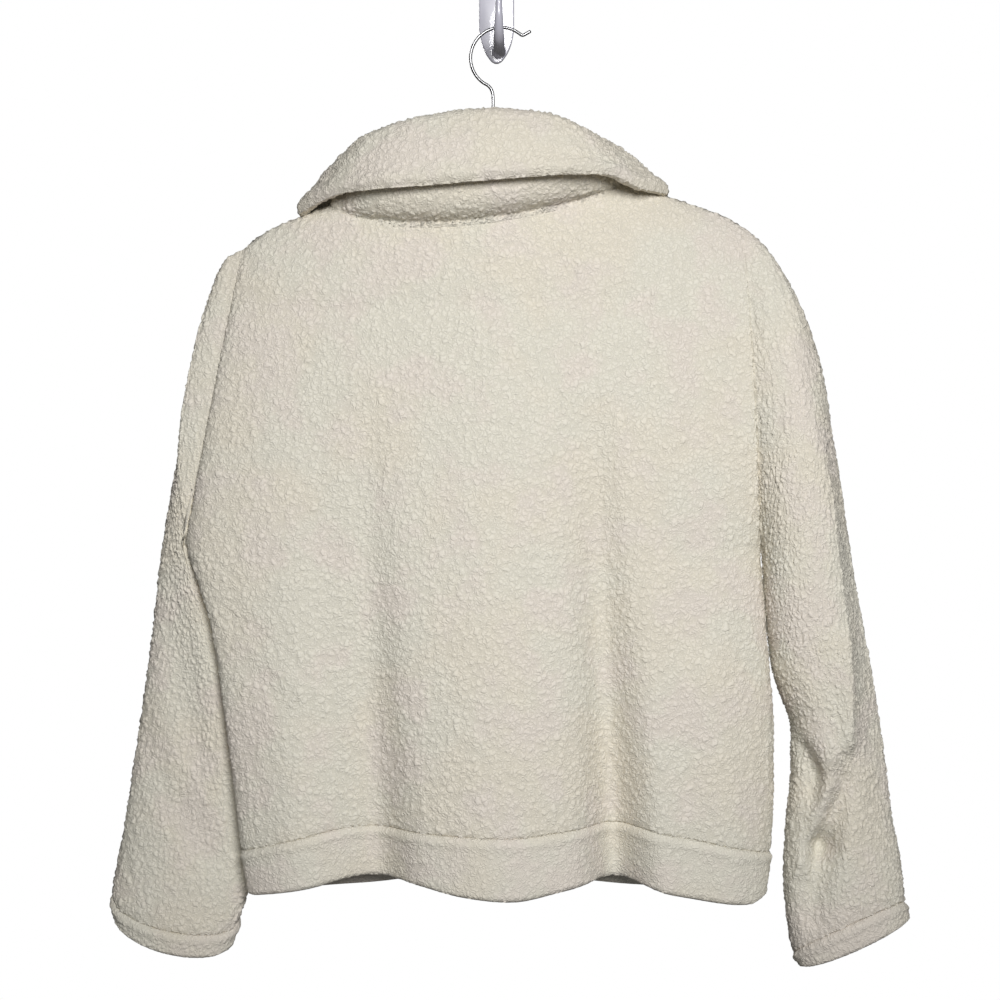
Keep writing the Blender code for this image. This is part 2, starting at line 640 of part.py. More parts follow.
def box(name, low_x, high_x, low_y, high_y, low_z, high_z):
    ring = ((low_x, low_y), (high_x, low_y), (high_x, high_y), (low_x, high_y))
    mesh = loft(name, [[(x, y, z) for x, y in ring] for z in (low_z, high_z)])
    mesh.shade_flat()
    return mesh


def joined(name, meshes, finish):
    """One object from meshes that run into each other."""
    thing = add_object(name, meshes[0], finish)
    for number, mesh in enumerate(meshes[1:]):
        more = add_object(f"{name}_{number}", mesh, finish)
        more.hide_render = True
        more.display_type = "WIRE"
        union = thing.modifiers.new("with " + more.name, "BOOLEAN")
        union.operation = "UNION"
        union.solver = "EXACT"
        union.object = more
    return thing


def slit_edge(piece, column, neighbour, first):
    """Down the cloth's edge from row `first`: the wall's middle, the way out, and its face's normal."""
    middle = (piece.outer[first:, column] + piece.inner[first:, column]) / 2
    outward = unit(piece.grid[first:, column] - piece.grid[first:, neighbour])
    return middle, outward, piece.normal[first:, column]


def stop_foot(front):
    """Height of the bottom stop's foot, over the slit's."""
    row, columns = front.slit[1], slice(MIDDLE, MIDDLE + 2)
    return float(max(front.outer[row, columns, 2].max(), front.inner[row, columns, 2].max())) + SEAM


def zip_tape(side, front, collar_cloth):
    """The tape, from above the bottom stop up the slit and along the collar's end."""
    left = side == "left"
    column, end = (MIDDLE, 0) if left else (MIDDLE + 1, -1)
    low = slit_edge(front, column, column - 1 if left else column + 1, front.slit[1])
    high = slit_edge(collar_cloth, end, 1 if left else -2, 0)
    middle, out, normal = (np.concatenate([a[:-1], b]) for a, b in zip(low, high))
    start = (stop_foot(front) + STOP_HEIGHT + 3 * SEAM - middle[0, 2]) / (middle[1, 2] - middle[0, 2])
    middle[0] = mix(middle[0], middle[1], start)
    along = unit(np.gradient(middle, axis=0))
    normal = unit(normal - (normal * along).sum(axis=1, keepdims=True) * along)
    square = np.cross(along, normal)
    square *= np.sign((square * out).sum(axis=1, keepdims=True))
    rings = []
    for place_at, away, facing in zip(middle, square, normal):
        ring = [place_at + away * reach - facing * half for reach, half in TAPE]
        rings.append(ring + [place_at + away * reach + facing * half for reach, half in reversed(TAPE)])
    return loft("zip_tape_" + side, rings)


def zip_middle(front, z):
    """x, y, z of the zip's middle at a height."""
    edges = [(front.outer[:, column] + front.inner[:, column]) / 2 for column in (MIDDLE, MIDDLE + 1)]
    middle = (edges[0] + edges[1]) / 2
    return [float(np.interp(z, edges[0][:, 2], middle[:, axis])) for axis in (0, 1)] + [z]


def blocks(name, rows, at, finish):
    """One object from a table of blocks about a place."""
    meshes = []
    for row in rows:
        low_x, high_x, low_y, high_y, low_z, high_z = (size + at[i // 2] for i, size in enumerate(row))
        meshes.append(box(name, low_x, high_x, low_y, high_y, low_z, high_z))
    return joined(name, meshes, finish)


def zip_pieces(front, collar_cloth, tape_finish, metal):
    for side in ("left", "right"):
        add_object("zip_tape_" + side, zip_tape(side, front, collar_cloth), tape_finish)
    x, y, z = zip_middle(front, stop_foot(front))
    across, depth = STOP_HALF
    stop = box("zip_stop", x - across, x + across, y - depth, y + depth, z, z + STOP_HEIGHT)
    add_object("zip_stop", stop, metal)
    at = zip_middle(front, SLIDER_Z)
    blocks("slider", SLIDER, at, metal)
    blocks("pull_tab", PULL_TAB, at, metal)


def bar_top(x):
    return shoulder_line(x) - BAR_CLEAR - NECK_DIP * np.clip(1 - np.abs(x) / DIP_REACH, 0, 1) ** DIP_POWER


def hanger(wood, chrome):
    x = BAR_END * np.sin(np.linspace(-np.pi / 2, np.pi / 2, 29))
    size = np.clip(1.25 - np.abs(x / BAR_END) ** 40, 0, 1)
    path = np.stack([x, np.zeros(len(x)), bar_top(x) - BAR_HALF[1]], axis=-1)
    halves = np.stack([BAR_HALF[0] * size, BAR_HALF[1] * size], axis=-1)
    add_object("hanger_bar", rod("hanger_bar", path, (0, 1, 0), halves, 12), wood)
    ring_x, ring_z, radius = WIRE_RING
    turns = np.radians(np.linspace(*WIRE_TURN, 26))
    ring = [(ring_x + radius * math.cos(turn), ring_z + radius * math.sin(turn)) for turn in turns]
    foot_x = WIRE_STEM[0][0]
    line = [(foot_x, float(bar_top(foot_x)) + 2 * SEAM), *WIRE_STEM, *ring, WIRE_TIP]
    wire = rod("hanger_hook", [(x, 0, z) for x, z in line], (0, 1, 0), (WIRE, WIRE), 10)
    add_object("hanger_hook", wire, chrome)


def wall_hook(plastic):
    right = [(PLATE_X + half, z) for z, half in PLATE]
    left = [(PLATE_X - half, z) for z, half in reversed(PLATE)]
    outline = np.array(right + left)
    middle = np.array((PLATE_X, (PLATE[0][0] + PLATE[-1][0]) / 2))
    halves = np.abs(outline - middle).max(axis=0)
    rings = []
    for deep, inset in ((0, 0), (PLATE_THICK - PLATE_EDGE, 0), (PLATE_THICK, PLATE_EDGE)):
        drawn = middle + (outline - middle) * (1 - inset / halves)
        rings.append([(x, WALL_Y - deep, z) for x, z in drawn])
    rows = [(number, *row) for number, row in enumerate(ARM)]
    steps = np.linspace(0, len(ARM) - 1, 25)
    y, z, half_x, half_y = (through(rows, steps, column) for column in range(1, 5))
    path = np.stack([np.full(len(y), ARM_X), y, z], axis=-1)
    arm = rod("wall_hook_arm", path, (1, 0, 0), np.stack([half_x, half_y], axis=-1), 16)
    joined("wall_hook", [loft("wall_hook", rings), arm], plastic)


def build():
    for thing in list(bpy.data.objects):
        bpy.data.objects.remove(thing, do_unlink=True)
    fleece = material("fleece", (0.80, 0.76, 0.66), 0.95)
    tape = material("zip tape", (0.78, 0.74, 0.65), 0.8)
    metal = material("zip metal", (0.72, 0.72, 0.74), 0.3, 1.0)
    chrome = material("chrome", (0.86, 0.86, 0.88), 0.1, 1.0)
    wood = material("hanger", (0.85, 0.85, 0.84), 0.5)
    plastic = material("white plastic", (0.90, 0.89, 0.93), 0.25)
    pieces = [panel("back"), panel("front"), hem_band("back"), hem_band("front"), collar_piece()]
    for side in ("left", "right"):
        pieces += sleeve_pieces(side)
    sew(pieces)
    for piece in pieces:
        add_object(piece.name, mesh_of(piece.name, *piece.solid()), fleece)
    named = {piece.name: piece for piece in pieces}
    zip_pieces(named["front_panel"], named["collar"], tape, metal)
    hanger(wood, chrome)
    wall_hook(plastic)


build()
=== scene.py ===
"""The looks of a cropped half-zip pullover of sherpa fleece: its cloth's fine form and pile, its zip, the
hanger and the wall hook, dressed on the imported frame, with a camera, soft lights and a pale floor.

Sizes and tables are in millimetres: x across, y from the plane of the hanger (negative to the room), and z up
from the level of the hem. `place` takes them to the frame, in metres.
"""

import math

import bpy
import numpy as np
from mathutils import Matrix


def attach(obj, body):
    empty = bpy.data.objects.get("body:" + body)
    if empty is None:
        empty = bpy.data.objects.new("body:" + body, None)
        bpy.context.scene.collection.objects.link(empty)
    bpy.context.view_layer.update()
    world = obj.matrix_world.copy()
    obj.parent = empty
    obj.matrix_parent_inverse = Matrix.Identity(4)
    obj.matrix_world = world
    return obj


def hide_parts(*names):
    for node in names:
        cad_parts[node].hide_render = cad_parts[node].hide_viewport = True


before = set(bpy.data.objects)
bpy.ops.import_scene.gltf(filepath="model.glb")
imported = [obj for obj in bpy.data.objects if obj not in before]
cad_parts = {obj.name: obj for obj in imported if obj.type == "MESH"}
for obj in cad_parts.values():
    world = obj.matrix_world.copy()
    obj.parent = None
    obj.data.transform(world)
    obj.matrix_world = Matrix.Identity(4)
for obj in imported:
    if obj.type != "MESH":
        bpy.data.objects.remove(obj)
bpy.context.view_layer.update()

# ---------------------------------------------------------------- driving sizes, in millimetres

METRE = 1000.0
TINY = 1e-9  # keeps a length that is divided by from being 0
WALL_Y = 50.0  # the wall, behind the plane of the hanger
HOOK_Z = 785.0  # the wall hook's middle, above the hem's level

FLEECE = 4.5  # fleece with its pile
DOUBLED = 8.0  # fleece turned double and sewn down: collar, hem band and cuff hems

# The line of the shoulders, along the top of the cloth: two slopes that meet over the hanger's middle.
SHOULDER_TOP = 666.0
SHOULDER_SLOPE = {"left": 0.394, "right": 0.335}
TIP_X = {"left": -222.0, "right": 214.0}
TIP_START, TIP_RUN, TIP_PAST, TIP_DROP = 190.0, 30.0, 1.2, 8.0  # how the cloth rounds off the hanger's end

# Armholes: the underarm point, and how far the edge bows back and front between it and the shoulder.
UNDERARM = {"left": (-272.0, -2.0, 313.0), "right": (229.0, -4.0, 309.0)}
ARMHOLE_BOW = {"left": {"back": -10.0, "front": 16.0}, "right": {"back": -25.0, "front": 27.0}}
TUBE_ROUND = 0.9  # how a flattened tube rounds off at its edges: 1 is an ellipse
UNDERARM_ROUND, UNDERARM_RINGS = 0.8, 4  # what the underarm adds to that, and for how many rings

# Side seams below the underarm: height, x.
SIDE_X = {
    "left": (
        (8, -213), (48, -220.5), (110, -228), (178, -237), (213, -242), (247, -249), (273, -257.5),
        (297, -267), (313, -272),
    ),
    "right": (
        (0, 232), (45, 237.5), (100, 240.5), (158, 240.5),
        (206, 237), (245, 234), (280, 231.5), (309, 229),
    ),
}
# Height, y of the side seams.
SIDE_Y = {"left": ((0, -24), (150, -24), (250, -20), (313, -2)), "right": ((0, -9), (150, -7), (309, -4))}

# How far the body stands off the hanger's plane, by the drop below the line of the shoulders.
DEPTH = {
    "back": (
        (0, 0), (1.5, 6), (5, 10), (12, 14), (26, 19), (58, 27),
        (110, 33), (190, 41), (300, 49), (430, 55), (640, 58),
    ),
    "front": (
        (0, 0), (1.5, 6), (5, 9.5), (12, 13), (26, 15), (58, 18),
        (110, 22), (190, 26), (300, 31), (430, 35), (640, 38),
    ),
}
BACK_ROUND = 2.6  # the back turns its sides like a superellipse of this power
FRONT_ROUND = 0.7  # the front, which lies to the wall, turns them flatter

# Neck seam: the places across the back, closer together towards its sides, and which of them end the seam.
# Then how far it sags from the line between those ends.
COLUMNS = 22
NECK_COLUMNS = [6, 15]
NECK_SAG = {"back": 26.0, "front": 72.0}
NECK_LEAN = {"back": 0.85, "front": 1.0}  # under 1 it hangs lowest to the left
NECK_ROUND = {"back": 0.7, "front": 0.8}

# Half zip: the slit stands open above the slider.
ZIP_FOOT = 400.0
SLIDER_Z = 468.0
SLIT = 14.4  # between the slit's edges where the zip is closed
SLIT_U = 0.0155  # the slit's edges, from the middle of the front
SLIT_SPREAD, SLIT_POWER = 25.0, 1.2  # what each edge moves aside at the neck, and how it comes to that
SLIT_EASE = 0.09  # how far across the front the cloth moves with it
EASE_FOOT, EASE_RUN = 300.0, 80.0  # and from which height

# Hem band: place across, height of the seam above the band, height of the lower edge.
HEM = {
    "back": (
        (0.00, 48, 10), (0.04, 53, 13), (0.12, 62, 19), (0.22, 70, 27), (0.32, 68, 23), (0.42, 66, 15),
        (0.51, 65, 12), (0.61, 69, 19), (0.70, 71.5, 24), (0.80, 65, 15), (0.90, 55, 6), (0.97, 48, 3),
        (1.00, 45, 8),
    ),
    "front": ((0.00, 48, 10), (0.20, 58, 12), (0.40, 66, 18), (0.60, 63, 15), (0.80, 57, 9), (1.00, 45, 8)),
}

# Sleeves, ring by ring below the armhole, to the cuff's seam and the cuff's lower edge: the outer edge's
# x, y, z, the inner edge's x, y, z, how far the back and the front stand off them, how far the back hangs,
# and how far the ring bows outwards between its edges.
SLEEVES = {
    "left": (
        (-236, 0, 562, -271, -1, 302, -10, 17, 0, 3),
        (-252, 5, 530, -267, 2, 286, -12, 19, 0, 14),
        (-262, 9, 482, -257, 5, 267, -13, 21, 0, 19),
        (-274, 13, 420, -247, 8, 246, -15, 22, 0, 17),
        (-288, 16, 355, -236, 9, 222, -18, 23, 0, 10),
        (-298, 18, 295, -227, 10, 190, -20, 24, 0, 4),
        (-305, 20, 235, -218, 10, 150, -21, 24, 0, 0),
        (-313, 20, 175, -213, 10, 108, -21, 24, 2, 0),
        (-322, 20, 115, -212, 10, 65, -21, 24, 6, 0),
        (-331, 18, 55, -216, 9, 20, -22, 25, 12, 0),
        (-340, 16, 2, -226, 8, -18, -24, 25, 18, 0),
        (-337, 16, -18, -232, 8, -38, -24, 25, 18, 0),
    ),
    "right": (
        (229, -2, 577, 231, -4, 300, -30, 30, 0, 0),
        (249, -4, 549, 232, -4, 288, -34, 34, 0, 0),
        (269, -5, 509, 232.5, -4, 276, -38, 37, 0, 0),
        (284, -5, 460, 233, -4, 262, -40, 39, 0, 0),
        (293, -4, 405, 234.5, -4, 245, -42, 41, 0, 0),
        (302, -3, 350, 237, -4, 225, -43, 42, 0, 0),
        (311, -3, 290, 240, -4, 203, -43, 43, 0, 0),
        (321, -3, 235, 248, -3, 178, -42, 43, 0, 0),
        (330, -2, 185, 257, -2, 150, -40, 42, 0, 0),
        (339, -1, 125, 257, -1, 112, -37, 40, 0, 0),
        (346, 0, 70, 253.5, 0, 75, -34, 37, 2, 0),
        (353, 0, 34, 250.5, 0, 20, -32, 33, 3, 0),
        (357, 0, -2, 259, 0, -46, -30, 29, -10, 0),
        (360, 0, -16, 266, 0, -58, -30, 29, 0, 0),
    ),
}

# The right sleeve's side face: how flat it is beyond the ridge, the rings where that comes in and where it
# goes, and the least share of the sleeve that it takes.
SIDE_FACE = 0.75
SIDE_FACE_RINGS = (2.5, 7, 9.5, 12.5)
LEAST_FACE = 0.02
# The ridge, down the sleeve's outer side: height, x.
SIDE_RIDGE = ((-50, 300), (111, 301), (179, 304), (230, 303), (299, 296), (367, 289), (460, 272), (580, 240))
# The lip of the fold at its elbow: x, z, depth.
ELBOW_LIP = (
    (252, 168, 2), (258, 157, 8), (270, 140, 15), (279, 123, 18), (282, 112, 18), (279, 97, 14), (273, 78, 3),
)
LIP_EDGE, LIP_REACH = 3.5, 24  # how soon the cloth drops behind the lip, and how far on it has risen again
LIP_SWELL, SWELL_AT, SWELL_HALF = -0.15, 5, 8  # the swell before it: its share of the depth, and where it is

# Collar, along the neck seam from the zip's left edge (-1) by the back (0) to its right edge (1): the top of
# the fold's x, y, z, and the lower edge of the turned-down part's x, y, z.
COLLAR = (
    (-1.00, -48, 28, 584, -86, 39, 456),
    (-0.88, -66, 27, 594, -118, 39, 509),
    (-0.75, -88, 24, 609, -150, 36, 562),
    (-0.62, -112, 14, 641, -172, 15, 600),
    (-0.50, -122, -4, 653, -174, -4, 598),
    (-0.40, -116, -22, 658, -154, -27, 606),
    (-0.30, -104, -36, 662, -128, -45, 612),
    (-0.15, -66, -44, 673, -82, -62, 613.5),
    (0.00, -8, -46, 680, -8, -66, 619),
    (0.15, 38, -45, 677, 56, -64, 624),
    (0.28, 64, -40, 669, 94, -52, 626),
    (0.40, 84, -24, 661, 128, -30, 616.5),
    (0.50, 96, -4, 657, 150, -4, 616),
    (0.62, 88, 14, 642, 150, 15, 610),
    (0.75, 67, 24, 609, 136, 36, 570),
    (0.88, 52, 27, 595, 106, 39, 513),
    (1.00, 38, 28, 586, 77, 39, 460),
)
FOLD_RADIUS = 7.0
STAND_BULGE, STAND_BULGE_END = 45.0, 0.46  # how far the stand bellies out at the back, and where that ends
STAND_AIM, STAND_UP = 0.5, 10  # how steeply it rises as it sets out there, and at the collar's ends
FALL_BULGE = 0.35  # how far the fall bows out between its fold and its edge
CURVE_PULL = 0.35  # how far the stand and the fall run straight on from their ends
COLLAR_STEP = 0.03  # either side of a place, to find which way the collar runs there
LIFT = 7.6  # from the shoulders' outer face to the middle of the fall's cloth, at the least
EDGE_LIFT = 3.5  # the same at the fall's edge, which rounds off
LIFT_REACH, LIFT_STEPS = 60.0, 160  # how far down the shoulders that counts, and in how many steps
CREST_LIFT, CREST_HALF = 9.0, 15.0  # what it gains where it bends over their crest, and how near

# Zip teeth: how far out of the cloth's edge a tooth reaches, its half-width along it and its half-depth.
TOOTH = ((4.7, 0.35, 1.7), (5.0, 0.6, 1.85), (7.3, 0.6, 1.85), (7.8, 0.4, 1.5))
TOOTH_PITCH = 2.0
TEETH_START, TEETH_END = 7.0, 5.0  # from the slit's foot, and from the collar's edge

# Hanger: a bar inside the shoulders, dipped at the neck, and its wire hook.
BAR_CLEAR = 7.5  # from the cloth's crest to the top of the bar at its ends
NECK_DIP, DIP_REACH, DIP_POWER = 26.0, 185.0, 0.7  # it arches less than the shoulders do, towards the neck
WIRE = 1.4  # the wire's half-thickness
WIRE_LIFT = 0.6  # from the bar's top to the stem's foot
WIRE_STEM = ((-3.5, 700.0), (-3.7, 705.5), (-5.3, 710.0), (-8.0, 712.9))
WIRE_RING = (3.5, 736.75, 26.75)  # centre x, z and radius
WIRE_TURN = (237.0, 46.0)  # from the stem round to the tip, in degrees
WIRE_TIP = (29.7, 760.4)
WIRE_TIP_ROUND = 0.8  # how far from its end it rounds off
RING_POINTS, WIRE_STEPS, WIRE_PASSES, WIRE_SIDES = 90, 260, 6, 20  # the passes smooth its corners

# Wall hook: a plate on the wall, half-width by height, and an arm that comes out of its foot and turns up.
PLATE_X = -0.5
PLATE = ((742.7, 1.5), (744.0, 4.0), (747.5, 7.0), (753, 10.5), (763, 14), (775, 15.75), (828, 15.75))
PLATE_THICK, PLATE_EDGE = 4.0, 1.2
PLATE_ROWS, PLATE_EDGE_ROWS = 60, 6
ARM_X = 1.5
ARM_TIP_ROUND = 2.4  # how far from its end it rounds off
ARM_STEPS, ARM_SIDES = 120, 32
# y, z, half-width and half-depth along the arm.
ARM = (
    (48.5, 752.5, 6.5, 6.0),
    (40.0, 752.4, 6.3, 5.8),
    (20.0, 752.6, 5.2, 5.2),
    (5.0, 754.6, 5.0, 4.8),
    (-6.0, 761.0, 4.2, 4.0),
    (-11.5, 773.0, 3.4, 3.4),
    (-13.0, 795.0, 2.6, 2.6),
)

# Folds and creases: x, z, depth and half-width at one end, then the same at the other. A depth over 0 sinks
# into the body, and one under 0 stands out from it.
FOLDS = {
    "back": (
        (-150, 450, 0, 24, -116, 0, 17, 36),
        (-20, 540, 0, 60, -2, 0, -15, 52),
        (70, 450, 0, 26, 108, 0, 15, 34),
        (172, 560, 4, 16, 170, 230, 4, 20),
        (150, 520, -3, 20, 205, 0, -8, 30),
        (-190, 330, 0, 24, -172, 0, -7, 30),
        (-112, 440, 0, 16, -97, 0, 21, 23),
        (82, 440, 0, 16, 103, 0, 31, 20),
        (150, 300, 0, 16, 176, 0, 4, 26),
        (128, 300, 0, 14, 142, 0, -6, 18),
        (-215, 512, 2.0, 10, 118, 520, 1.6, 12),
        (-228, 250, 2.5, 9, -178, 205, 1.5, 12),
        (-214, 232, -2.0, 9, -170, 190, -1.2, 12),
        (-205, 205, 2.0, 9, -160, 160, 1.2, 14),
    ),
    "front": (
        (60, 420, 0, 30, 100, 0, 10, 40),
        (-60, 380, 0, 30, -100, 0, 8, 38),
        (-150, 505, 2.0, 12, -60, 430, 1.5, 16),
        (150, 505, 2.0, 12, 70, 430, 1.5, 16),
        (190, 250, 2.5, 10, 120, 205, 1.5, 14),
    ),
    "left_sleeve_back": (
        (-300, 330, 3, 18, -262, 130, 4, 18),
        (-262, 300, -3, 16, -240, 120, -3, 14),
        (-318, 150, 2.5, 14, -250, 40, 3, 16),
    ),
    "left_sleeve_front": (
        (-280, 420, 3, 16, -270, 120, 4, 18),
        (-265, 180, -4, 14, -310, 60, -3, 16),
    ),
    "right_sleeve_back": (
        (262, 190, -3, 13, 285, 130, -5, 12),
        (289, 104, -7, 9, 264, 36, -5, 9),
        (303, 127, 11, 11, 280, 50, 16, 12),
        (280, 50, 16, 12, 271, -10, 8, 11),
        (300, 230, -5, 10, 302, 120, -6, 10),
    ),
    "right_sleeve_front": (
        (300, 420, 3, 16, 290, 120, 4, 18),
        (290, 180, -4, 14, 330, 60, -3, 16),
    ),
    "collar": (
        (-104, 655, 1.6, 5, -96, 606, 1.2, 5),
        (-90, 660, 2.0, 6, -84, 608, 1.4, 6),
        (-74, 662, 1.8, 6, -72, 612, 1.4, 6),
        (-97, 655, -1.2, 4, -90, 606, -1.0, 4),
    ),
}
WRINKLES_BEHIND = -20  # the collar's creases are in its back, beyond this y

# ---------------------------------------------------------------- the cloth's mesh and its edges

# Millimetres between the points of a piece.
SPACING = {"back_panel": 2.0, "front_panel": 2.8, "sleeve": 2.0, "collar": 1.9, "hem_band": 2.0}
COLLAR_COLUMNS, CUFF_ROWS = 300, 15  # the pieces that are parted into a number instead
INNER_STEP = 4  # the hidden inner face has one point in so many
# Rows and columns are spaced along a line over the piece: its points, and where it runs.
GUIDE, SLEEVE_GUIDE, HEM_GUIDE = 4001, 2001, 401
GUIDE_U, GUIDE_V, GUIDE_RING, GUIDE_FALL = 0.3, 0.5, 4.0, 2.5
BOUND_EDGE, LEAST_HALF = 4.0, 0.5  # how far from its edge doubled cloth rounds off, and what is left there
SEAM_DIP, SEAM_REACH = 1.0, 3.0  # how deep the cloth sinks at a seam, and how far from it
SEWN_FLAT, SLEEVE_REACH = 0.8, 1.5  # how flat the pile is at a sewn edge, and how much wider on a sleeve
BAND_PROUD = 1.0  # how far a band stands out from the cloth above
BAND_CREST, BAND_CREST_AT, BAND_CREST_HALF = 1.2, 5.5, 3.5  # the ridge along a band's seam
TUCK, TUCK_SLOPE = 5.0, 8  # what a sleeve or the collar runs on under the body's edge, and its run by drop
COLLAR_RISE = 14.0  # how far up the stand the collar comes to its double thickness
ROLL, ROLL_BACK = 2.6, 7.0  # how the fall's lower edge thickens, and how far from it
PUFF, PUFF_POWER, PUFF_END, PUFF_EDGE = 3.0, 0.8, 0.72, 8  # the fall's fullness, and where it ends
LEAST_TIP = 0.02  # of a bar's thickness, at its end

# ---------------------------------------------------------------- looks

# Each kind of fleece: its curls across, how high they stand, and how dark the painted shade in the crevices
# between them is.
PILES = {"body": (4.7, 1.5, 0.15), "hem": (4.0, 0.9, 0.10), "collar": (4.8, 1.6, 0.14)}
BEHIND = 0.35  # of that height, on a piece's inner face
CURL_LEVEL = 0.55  # the height that leaves the cloth where it is
WANDER_SCALE, WANDER_DETAIL, WANDER_REACH = 0.9, 2.0, 2.2  # what bends the curls out of line
UNEVEN_SCALE, UNEVEN_DETAIL, UNEVEN_SHARE, UNEVEN_LEAST = 0.55, 1.0, 0.8, 0.6  # what makes some stand higher
CURL_ROUND, CREVICE_SHADE_WIDTH = 0.34, 0.16  # how near a crevice the curl begins to drop, and how far from a crevice its painted shade reaches
CREVICE_SHADE_BLUE = 1.1  # how much more the crevices' painted shade takes from blue
FIBRE_SCALE, FIBRE_DETAIL, FIBRE_HEIGHT = 0.9, 3.0, 0.35
FLEECE_ROUGHNESS, SHEEN, SHEEN_ROUGHNESS = 0.95, 0.04, 0.6
FLEECE_BUMP = (0.55, 0.0011)  # strength, and distance in metres
CREAM = {"warm": (0.80, 0.745, 0.635), "green": (0.79, 0.755, 0.655), "lilac": (0.80, 0.735, 0.655)}
# Its faint patches of tint: their noise's scale and detail, and the values where they begin and are full.
PATCHES = {"green": (0.012, 2.0, 0.40, 0.60), "lilac": (0.021, 3.0, 0.46, 0.66)}

WEAVE_SCALE = 320.0
WEAVE_COLOURS = ((0.62, 0.585, 0.49), (0.78, 0.74, 0.64))
WEAVE_ROUGHNESS, WEAVE_BUMP = 0.8, (0.4, 0.0003)

# Hard finishes: the two colours that each varies between, how rough, how metallic and how much coat.
HARD = {
    "chrome": ((0.20, 0.20, 0.205), (0.28, 0.28, 0.285), 0.22, 1.0, 0.0),
    "zip metal": ((0.62, 0.62, 0.63), (0.72, 0.72, 0.73), 0.3, 1.0, 0.0),
    "white plastic": ((0.58, 0.575, 0.66), (0.62, 0.61, 0.69), 0.25, 0.0, 0.4),
    "hanger plastic": ((0.80, 0.80, 0.79), (0.84, 0.84, 0.83), 0.4, 0.0, 0.0),
}
GRAIN_SCALE, GRAIN_DETAIL, GRAIN_ROUGHNESS = 60.0, 4.0, 0.12

# The finishes of the CAD nodes that stay.
DRESSED = {
    "zip_tape_left": "zip tape", "zip_tape_right": "zip tape", "zip_stop": "zip metal", "slider": "zip metal",
    "pull_tab": "zip metal", "hanger_bar": "hanger plastic",
}

# In metres and watts from here on.
SEEN_WHITE, WORLD_LIGHT = 1.0, 0.08  # what the camera sees behind everything, and the room's even light
# Lamps: name, place, what it points at, width, power, and the cone in degrees.
LIGHTS = (
    ("key", (0.34, -2.3, 0.25), (0.04, -0.05, -0.42), 0.95, 211.0, 44),
    ("behind", (-0.6, 2.1, 0.7), (0, -0.05, -0.4), 1.0, 90.0, 60),
)
CONE_BLEND = 0.7
FLOOR_HALF, FLOOR_Z = (1.3, 1.1), -1.7
FLOOR_COLOUR, FLOOR_ROUGHNESS = (0.85, 0.85, 0.84), 0.7
CAMERA_AT = (0.0026, -1.75, -0.435)
SENSOR, CLIP_END = 36, 20
SEEN_AT, SEEN_HALF = 1.7, 0.4375  # at this distance the camera sees so far to each side

# ---------------------------------------------------------------- curves and places


def place(points):
    """Table millimetres to metres in the frame."""
    return (np.asarray(points, float) - (0.0, WALL_Y, HOOK_Z)) / METRE


def mix(a, b, t):
    return a + (b - a) * t


def unit(vectors):
    return vectors / np.maximum(np.linalg.norm(vectors, axis=-1, keepdims=True), TINY)


def through(rows, at, column=1):
    """The smooth curve through a table, of one column against its first, which never overshoots its rows."""
    knots, values = np.array([(row[0], row[column]) for row in rows], float).T
    steps = np.diff(knots)
    rises = np.diff(values) / steps
    turns = rises[:-1] * rises[1:] <= 0
    sums = np.where(turns, 1, rises[:-1] + rises[1:])
    inner = np.where(turns, 0, 2 * rises[:-1] * rises[1:] / sums)
    slopes = np.concatenate([rises[:1], inner, rises[-1:]])
    at = np.clip(at, knots[0], knots[-1])
    i = np.clip(np.searchsorted(knots, at, side="right") - 1, 0, len(steps) - 1)
    t = (at - knots[i]) / steps[i]
    low = (values[i] * (1 + 2 * t) + slopes[i] * steps[i] * t) * (1 - t) ** 2
    high = (values[i + 1] * (3 - 2 * t) - slopes[i + 1] * steps[i] * (1 - t)) * t**2
    return low + high


def bezier(start, start_pull, end_pull, end, t):
    """A cubic curve between two points, or two arrays of them, at t."""
    first = start * (1 - t) ** 3 + 3 * start_pull * t * (1 - t) ** 2
    return first + 3 * end_pull * t**2 * (1 - t) + end * t**3


def bar_top(x):
    """Height of the top of the hanger's bar."""
    return shoulder_line(x) - BAR_CLEAR - NECK_DIP * np.clip(1 - np.abs(x) / DIP_REACH, 0, 1) ** DIP_POWER


def off_line(x1, z1, x2, z2, x, z):
    """Where on a line, from 0 to 1, each place is nearest to it, and how far off in x and z the place is."""
    run, rise = x2 - x1, z2 - z1
    t = np.clip(((x - x1) * run + (z - z1) * rise) / (run**2 + rise**2), 0, 1)
    return t, x - x1 - t * run, z - z1 - t * rise


def sunk(table, x, z):
    """How far a table of folds sinks the cloth, at x and z."""
    depth = np.zeros(np.shape(x))
    for x1, z1, depth1, width1, x2, z2, depth2, width2 in table:
        t, off_x, off_z = off_line(x1, z1, x2, z2, x, z)
        depth = depth + mix(depth1, depth2, t) * np.exp(-(off_x**2 + off_z**2) / mix(width1, width2, t) ** 2)
    return depth


def stepped(lip, x, z):
    """How far cloth drops behind a lip: x, z and depth along it. It drops on the side of lower x."""
    nearest, depth = np.full(np.shape(x), np.inf), np.zeros(np.shape(x))
    for (x1, z1, depth1), (x2, z2, depth2) in zip(lip, lip[1:]):
        t, off_x, off_z = off_line(x1, z1, x2, z2, x, z)
        gap, full = np.hypot(off_x, off_z), mix(depth1, depth2, t)
        inside = (x - x1) * (z2 - z1) - (z - z1) * (x2 - x1) > 0
        below = (1 - np.exp(-((gap / LIP_EDGE) ** 2))) * np.exp(-((gap / LIP_REACH) ** 2)) * full
        above = LIP_SWELL * np.exp(-(((gap - SWELL_AT) / SWELL_HALF) ** 2)) * full
        depth = np.where(gap < nearest, np.where(inside, below, above), depth)
        nearest = np.minimum(gap, nearest)
    return depth


def numbered(rows):
    """A table with the number of each row before it."""
    return [(number, *row) for number, row in enumerate(rows)]


